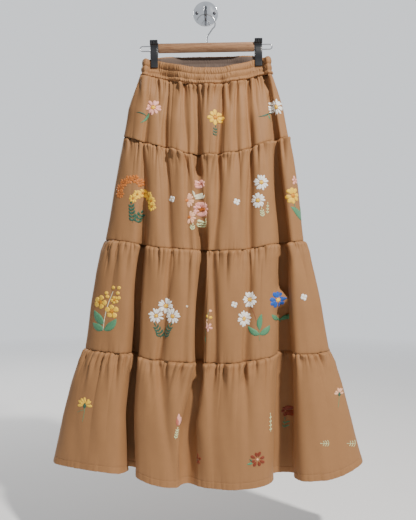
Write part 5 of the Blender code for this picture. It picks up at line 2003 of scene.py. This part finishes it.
@dataclass(frozen=True)
class WallHook:
    """The round plate on the wall, its screws and its prong."""

    radius: float = 0.0320
    thickness: float = 0.0040
    dome: float = 0.0025
    chamfer: float = 0.0012
    screw_x: float = 0.0225
    screw_z: float = 0.0010
    screw_radius: float = 0.0042
    prong_radius: float = 0.0036
    prong_root: float = -0.0040
    prong_low: float = -0.0215
    tip_share: float = 0.035

    def turned(self, profile: Array, centre: Point, segments: int = 72) -> MeshData:
        """A solid turned about Y from a profile of radius and y, from the wall outwards."""
        angle = turns(segments, 0.0)
        radius, y = profile[:, :1], profile[:, 1:]
        x, z = centre[0] + radius * np.cos(angle), centre[1] - radius * np.sin(angle)
        rings = packed(x, y, z)[None]
        return lofts(rings[:, :, ::-1], np.array([[0.03, 0.2]]))

    def plate_profile(self) -> Array:
        """Radius and y of the plate from its back: a straight edge, a round rim and a low dome."""
        face = -self.thickness
        turn = np.linspace(0.0, math.pi / 2, 7)
        rim_radius = self.radius - self.chamfer * (1.0 - np.cos(turn))
        rim = np.stack([rim_radius, face + self.chamfer * (1.0 - np.sin(turn))], axis=1)
        share = np.linspace(0.0, 1.0, 14)[1:-1]
        dome_radius = (self.radius - self.chamfer) * (1.0 - share) + 0.0004
        dome = np.stack([dome_radius, face - self.dome * smooth_step(0.0, 0.75, share)], axis=1)
        return np.concatenate([[(self.radius * 0.98, 0.0), (self.radius, -0.0006)], rim, dome])

    def build(self, chrome: Material, dark: Material, screw: Material) -> None:
        """Makes the plate, the screws and the prong.

        Args:
            chrome: The plate's finish.
            dark: The prong's finish.
            screw: The screws' finish.
        """
        plate = make_mesh("round_plate", self.turned(self.plate_profile(), (0.0, 0.0)), [chrome])
        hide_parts("wall_plate")
        self.screws(screw)
        self.prong(dark)

    def screws(self, finish: Material) -> None:
        """The two screws: low round heads with a recess, seated on the plate."""
        profile = self.plate_profile()
        inner_edge = self.screw_x - self.screw_radius
        seat = float(np.interp(inner_edge, profile[::-1, 0], profile[::-1, 1])) - 0.0001
        head = np.array((
            (0.94, 0.0), (1.0, -0.0002), (0.97, -0.0006), (0.86, -0.0011), (0.60, -0.0014), (0.42, -0.0015),
            (0.40, -0.0008), (0.10, -0.0008),
        ))
        head = head * np.array((self.screw_radius, 1.0)) + np.array((0.0, seat))
        for side, sign in (("left", -1.0), ("right", 1.0)):
            centre = (sign * self.screw_x, self.screw_z)
            made = make_mesh(f"{side}_screw", self.turned(head, centre, 32), [finish])
            made.data.set_sharp_from_angle(angle=math.radians(35.0))
            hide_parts(f"screw_{side}")

    def prong(self, finish: Material) -> None:
        """The round prong: out of the plate, under the hanger's hook and up to a round tip.

        Its tip is drawn in along a quarter of an ellipse.
        """
        start = -self.thickness - self.dome + 0.0002
        neck = [(0.0, start, self.prong_root), (0.0, start - 0.004, self.prong_root)]
        neck.append((0.0, start - 0.013, self.prong_root - 0.0050))
        bend = ((-0.010, 0.0030), (0.0, 0.0), (0.009, 0.0015), (0.0150, 0.0090), (0.0170, 0.0200))
        bend = [(0.0, HANGER_Y - out, self.prong_low + up) for out, up in bend]
        path = smooth_route(np.array(neck + bend), 60)
        share = np.linspace(0.0, 1.0, 60)
        ending = np.clip((share - (1.0 - self.tip_share)) / self.tip_share, 0.0, 1.0)
        tip = np.sqrt(1.0 - (ending * 0.97) ** 2)
        prong = make_mesh("prong", lofts(tube(path, self.prong_radius * tip, 24)), [finish])
        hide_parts("wall_prong")


@dataclass(frozen=True)
class Lamp:
    """A square area light: its place, the length of its side, its watts and its colour."""

    name: str
    place: Place
    size: float
    power: float
    colour: Colour


LAMPS = (
    Lamp("key", (1.68, -2.24, 2.15), 0.24, 252.0, (1.0, 0.95, 0.88)),
    Lamp("fill", (-2.4, -1.6, 0.2), 2.2, 3.5, (0.86, 0.92, 1.0)),
    Lamp("back", (-1.6, 2.6, 1.3), 0.8, 120.0, (1.0, 0.97, 0.92)),
)


@dataclass(frozen=True)
class Stage:
    """The floor, the lights and the camera at the photograph's viewing angle."""

    eye: Place = (0.0062, -1.645, -0.6315)
    focal_pixels: float = 640.0
    photo_size: tuple[int, int] = (416, 520)
    sensor: float = 24.0
    aim: Place = (0.0, -0.1, -0.7)
    floor_height: float = -1.32
    floor_reach: float = 5.0
    sky: float = 0.165
    backdrop: float = 1.05

    @property
    def photo_centre(self) -> Point:
        """The middle of the photograph in pixels."""
        return self.photo_size[0] / 2, self.photo_size[1] / 2

    def camera(self) -> None:
        """A level camera that looks along +Y."""
        data = bpy.data.cameras.new("camera")
        data.sensor_fit = "VERTICAL"
        data.sensor_height = self.sensor
        data.lens = self.sensor * self.focal_pixels / self.photo_size[1]
        camera = bpy.data.objects.new("camera", data)
        camera.location = self.eye
        camera.rotation_euler = (math.radians(90.0), 0.0, 0.0)
        bpy.context.scene.collection.objects.link(camera)
        bpy.context.scene.camera = camera

    def light(self, lamp: Lamp) -> None:
        """An area light that shines at the skirt's middle."""
        data = bpy.data.lights.new(lamp.name, "AREA")
        data.size = lamp.size
        data.energy = lamp.power
        data.color = lamp.colour
        light = bpy.data.objects.new(lamp.name, data)
        light.location = lamp.place
        run = np.array(self.aim) - np.array(lamp.place)
        turn_z = math.atan2(run[1], run[0]) - math.pi / 2
        turn_x = math.atan2(math.hypot(run[0], run[1]), -run[2])
        light.rotation_euler = (turn_x, 0.0, turn_z)
        bpy.context.scene.collection.objects.link(light)

    def world(self) -> None:
        """A dim sky that lights the skirt, behind a bright one that the camera sees."""
        world = bpy.data.worlds.new("studio")
        world.use_nodes = True
        nodes = Nodes(world.node_tree)
        sky = world.node_tree.nodes["Background"]
        nodes.feed(sky, Color=(0.86, 0.92, 1.0, 1.0), Strength=self.sky)
        seen = nodes.add("Background", Color=(0.93, 0.96, 1.0, 1.0), Strength=self.backdrop)
        rays = nodes.add("LightPath").outputs
        shown = nodes.math("MULTIPLY_ADD", rays["Is Glossy Ray"], 0.6, rays["Is Camera Ray"])
        mix = nodes.add("MixShader", i0=shown, i1=sky.outputs[0], i2=seen.outputs[0])
        nodes.feed(world.node_tree.nodes["World Output"], Surface=mix.outputs[0])
        bpy.context.scene.world = world

    def build(self, floor_finish: Material) -> None:
        """Makes the camera, the world, the lights and the floor.

        Args:
            floor_finish: The floor's material.
        """
        self.camera()
        self.world()
        for lamp in LAMPS:
            self.light(lamp)
        reach = self.floor_reach
        corners = np.array([[[-reach, reach], [reach, reach]], [[-reach, -reach], [reach, -reach]]])
        points = np.concatenate([corners, np.full((2, 2, 1), self.floor_height)], axis=-1)
        data = grid_data(points, corners)
        mesh = bpy.data.meshes.new("floor")
        mesh.from_pydata(data.points.tolist(), [], data.faces.tolist())
        mesh.materials.append(floor_finish)
        floor = bpy.data.objects.new("floor", mesh)
        bpy.context.scene.collection.objects.link(floor)


TIER_CUTS = (
    TierCut(
        number=1,
        height=0.165,
        gather=1.40,
        troughs=(
            (-0.158, 0.0030, 0.0045, 0.060), (-0.134, 0.0025, 0.0050, 0.050, -0.06),
            (-0.114, 0.0020, 0.0040, 0.045), (-0.074, 0.0028, 0.0050, 0.070, -0.05),
            (-0.056, 0.0030, 0.0045, 0.090, -0.08), (-0.006, 0.0060, 0.0055, 0.042, 0.03),
            (0.004, 0.0022, 0.0040, 0.050), (0.020, 0.0040, 0.0050, 0.060),
            (0.060, 0.0035, 0.0050, 0.075), (0.088, 0.0026, 0.0045, 0.055),
            (0.124, 0.0026, 0.0045, 0.070), (0.138, 0.0034, 0.0050, 0.090, 0.06),
        ),
        flat=(0.46, 0.165),
        columns={Side.FRONT: 400, Side.BACK: 200},
        slackening=0.25,
    ),
    TierCut(
        number=2,
        height=0.255,
        gather=1.0,
        troughs=(
            (-0.185, 0.0030, 0.0050, 0.060), (-0.165, 0.0022, 0.0045, 0.050),
            (-0.120, 0.0025, 0.0045, 0.060), (-0.072, 0.0040, 0.0055, 0.080),
            (-0.048, 0.0030, 0.0050, 0.070), (-0.004, 0.0026, 0.0050, 0.070, 0.06),
            (0.016, 0.0045, 0.0050, 0.085, -0.06), (0.052, 0.0028, 0.0050, 0.055),
            (0.070, 0.0038, 0.0050, 0.085), (0.124, 0.0026, 0.0045, 0.055),
            (0.142, 0.0040, 0.0055, 0.095, 0.03), (0.190, 0.0030, 0.0050, 0.080),
        ),
        flat=(0.66, 0.27),
        columns={Side.FRONT: 520, Side.BACK: 250},
        slackening=0.85,
        eased=((-0.013, -0.450), (-0.012, -0.492), (-0.011, -0.534)),
    ),
    TierCut(
        number=3,
        height=0.268,
        gather=1.05,
        troughs=(
            (-0.236, 0.0028, 0.0050, 0.060), (-0.212, 0.0034, 0.0050, 0.075),
            (-0.190, 0.0028, 0.0050, 0.060), (-0.142, 0.0030, 0.0050, 0.070),
            (-0.110, 0.0032, 0.0055, 0.060), (-0.066, 0.0026, 0.0050, 0.050),
            (-0.050, 0.0026, 0.0050, 0.060), (0.010, 0.0045, 0.0055, 0.090, 0.04),
            (0.038, 0.0028, 0.0050, 0.060), (0.074, 0.0034, 0.0050, 0.075),
            (0.124, 0.0036, 0.0055, 0.080), (0.148, 0.0040, 0.0055, 0.090),
            (0.216, 0.0026, 0.0050, 0.055), (0.236, 0.0030, 0.0050, 0.065),
        ),
        flat=(0.84, 0.28),
        columns={Side.FRONT: 660, Side.BACK: 310},
        eased=((0.1755, -0.727),),
    ),
    TierCut(
        number=4,
        height=0.280,
        gather=1.15,
        troughs=(
            (-0.290, 0.0030, 0.0055, 0.070), (-0.262, 0.0032, 0.0055, 0.070, -0.05),
            (-0.238, 0.0030, 0.0055, 0.080), (-0.208, 0.0048, 0.0060, 0.110, -0.03),
            (-0.160, 0.0040, 0.0055, 0.085), (-0.132, 0.0048, 0.0060, 0.100, 0.08),
            (-0.092, 0.0034, 0.0055, 0.080), (-0.056, 0.0036, 0.0055, 0.070, -0.10),
            (0.010, 0.0050, 0.0060, 0.110), (0.042, 0.0038, 0.0055, 0.080),
            (0.062, 0.0030, 0.0050, 0.060), (0.092, 0.0036, 0.0055, 0.085),
            (0.128, 0.0034, 0.0055, 0.070), (0.152, 0.0046, 0.0060, 0.100, 0.05),
            (0.230, 0.0040, 0.0055, 0.090), (0.262, 0.0032, 0.0055, 0.070),
            (0.292, 0.0030, 0.0050, 0.070),
        ),
        flat=(1.06, 0.285),
        columns={Side.FRONT: 820, Side.BACK: 400},
    ),
)


@dataclass(frozen=True)
class Skirt:
    """The whole garment: waistband, panels, stitching and needlework."""

    form: SkirtForm
    finishes: Finishes
    stage: Stage

    def needlework(self, panel: TierPanel, threads: list[Material]) -> Piece:
        """The embroidery of a panel, laid on it.

        Args:
            panel: The panel.
            threads: One material for each thread.

        Returns:
            The embroidery as one piece.
        """
        pen = Needlework(panel, self.stage.eye, self.stage.focal_pixels, self.stage.photo_centre)
        if panel.side is Side.FRONT:
            EMBROIDER_FRONT[panel.cut.number](pen)
        else:
            embroider_back(pen)
        piece = make_mesh(f"embroidery_{panel.cut.number}_{panel.side.column}", pen.build(), threads)
        return piece

    def hem_stitches(self, panel: TierPanel, thread: Material) -> Piece:
        """The line of stitches that holds the turned hem."""
        columns = np.arange(3.0, panel.points.shape[1] - 4.0, 0.25)
        share = 1.0 - panel.hem_turn / panel.cut.height
        row = np.full(len(columns), np.interp(share, panel.shares, np.arange(len(panel.shares))))
        points, normals = panel.sample(row, columns)
        stitches = Stitching().along(points, normals)
        piece = make_mesh(f"hem_stitches_{panel.side.column}", stitches, [thread])
        return piece

    def waist_stitches(self, band: Waistband, thread: Material) -> Piece:
        """The two lines of stitches between the waistband's channels, all round."""
        lines = []
        columns = np.arange(0.0, band.columns, 0.25)
        looped = np.concatenate([band.points, band.points[:, :1]], axis=1)
        normals = np.concatenate([band.normals, band.normals[:, :1]], axis=1)
        stitching = Stitching(pitch=0.0030, length=0.0022)
        for edge in band.channel_edges[1:-1]:
            rows = np.full(len(columns), edge * (band.outer_rows - 1))
            out = unit(sample_grid(normals, rows, columns))
            lines.append(stitching.along(sample_grid(looped, rows, columns), out))
        piece = make_mesh("waist_stitches", joined(lines), [thread])
        return piece

    def build(self) -> None:
        """Makes every piece of the garment."""
        cloth = self.finishes.cloth()
        threads = [self.finishes.thread(thread) for thread in Thread]
        sewing = threads[THREAD_NUMBER[TAN]]
        band = Waistband(self.form)
        waistband = band.build(cloth, self.finishes.painted_shade_lining())
        stitches = self.waist_stitches(band, sewing)
        for cut in TIER_CUTS:
            for side in Side:
                panel = TierPanel(self.form, cut, side)
                piece = panel.build(cloth)
                extras = [self.needlework(panel, threads)]
                if cut.has_hem:
                    extras.append(self.hem_stitches(panel, sewing))


def main() -> None:
    """Builds the stage, the wall hook, the hanger and the skirt, in that order."""
    logging.basicConfig(level=logging.INFO, format="%(message)s")
    finishes = Finishes(weave_group(), drift_group(), strand_group(), grain_group(), wear_group())
    stage = Stage()
    stage.build(finishes.floor())
    WallHook().build(*(finishes.hard(look) for look in (Look.CHROME, Look.DARK_CHROME, Look.SCREW)))
    Hanger().build(finishes.wood(), finishes.hard(Look.STEEL), finishes.hard(Look.PLASTIC))
    Skirt(SkirtForm(), finishes, stage).build()


if __name__ == "__main__":
    main()
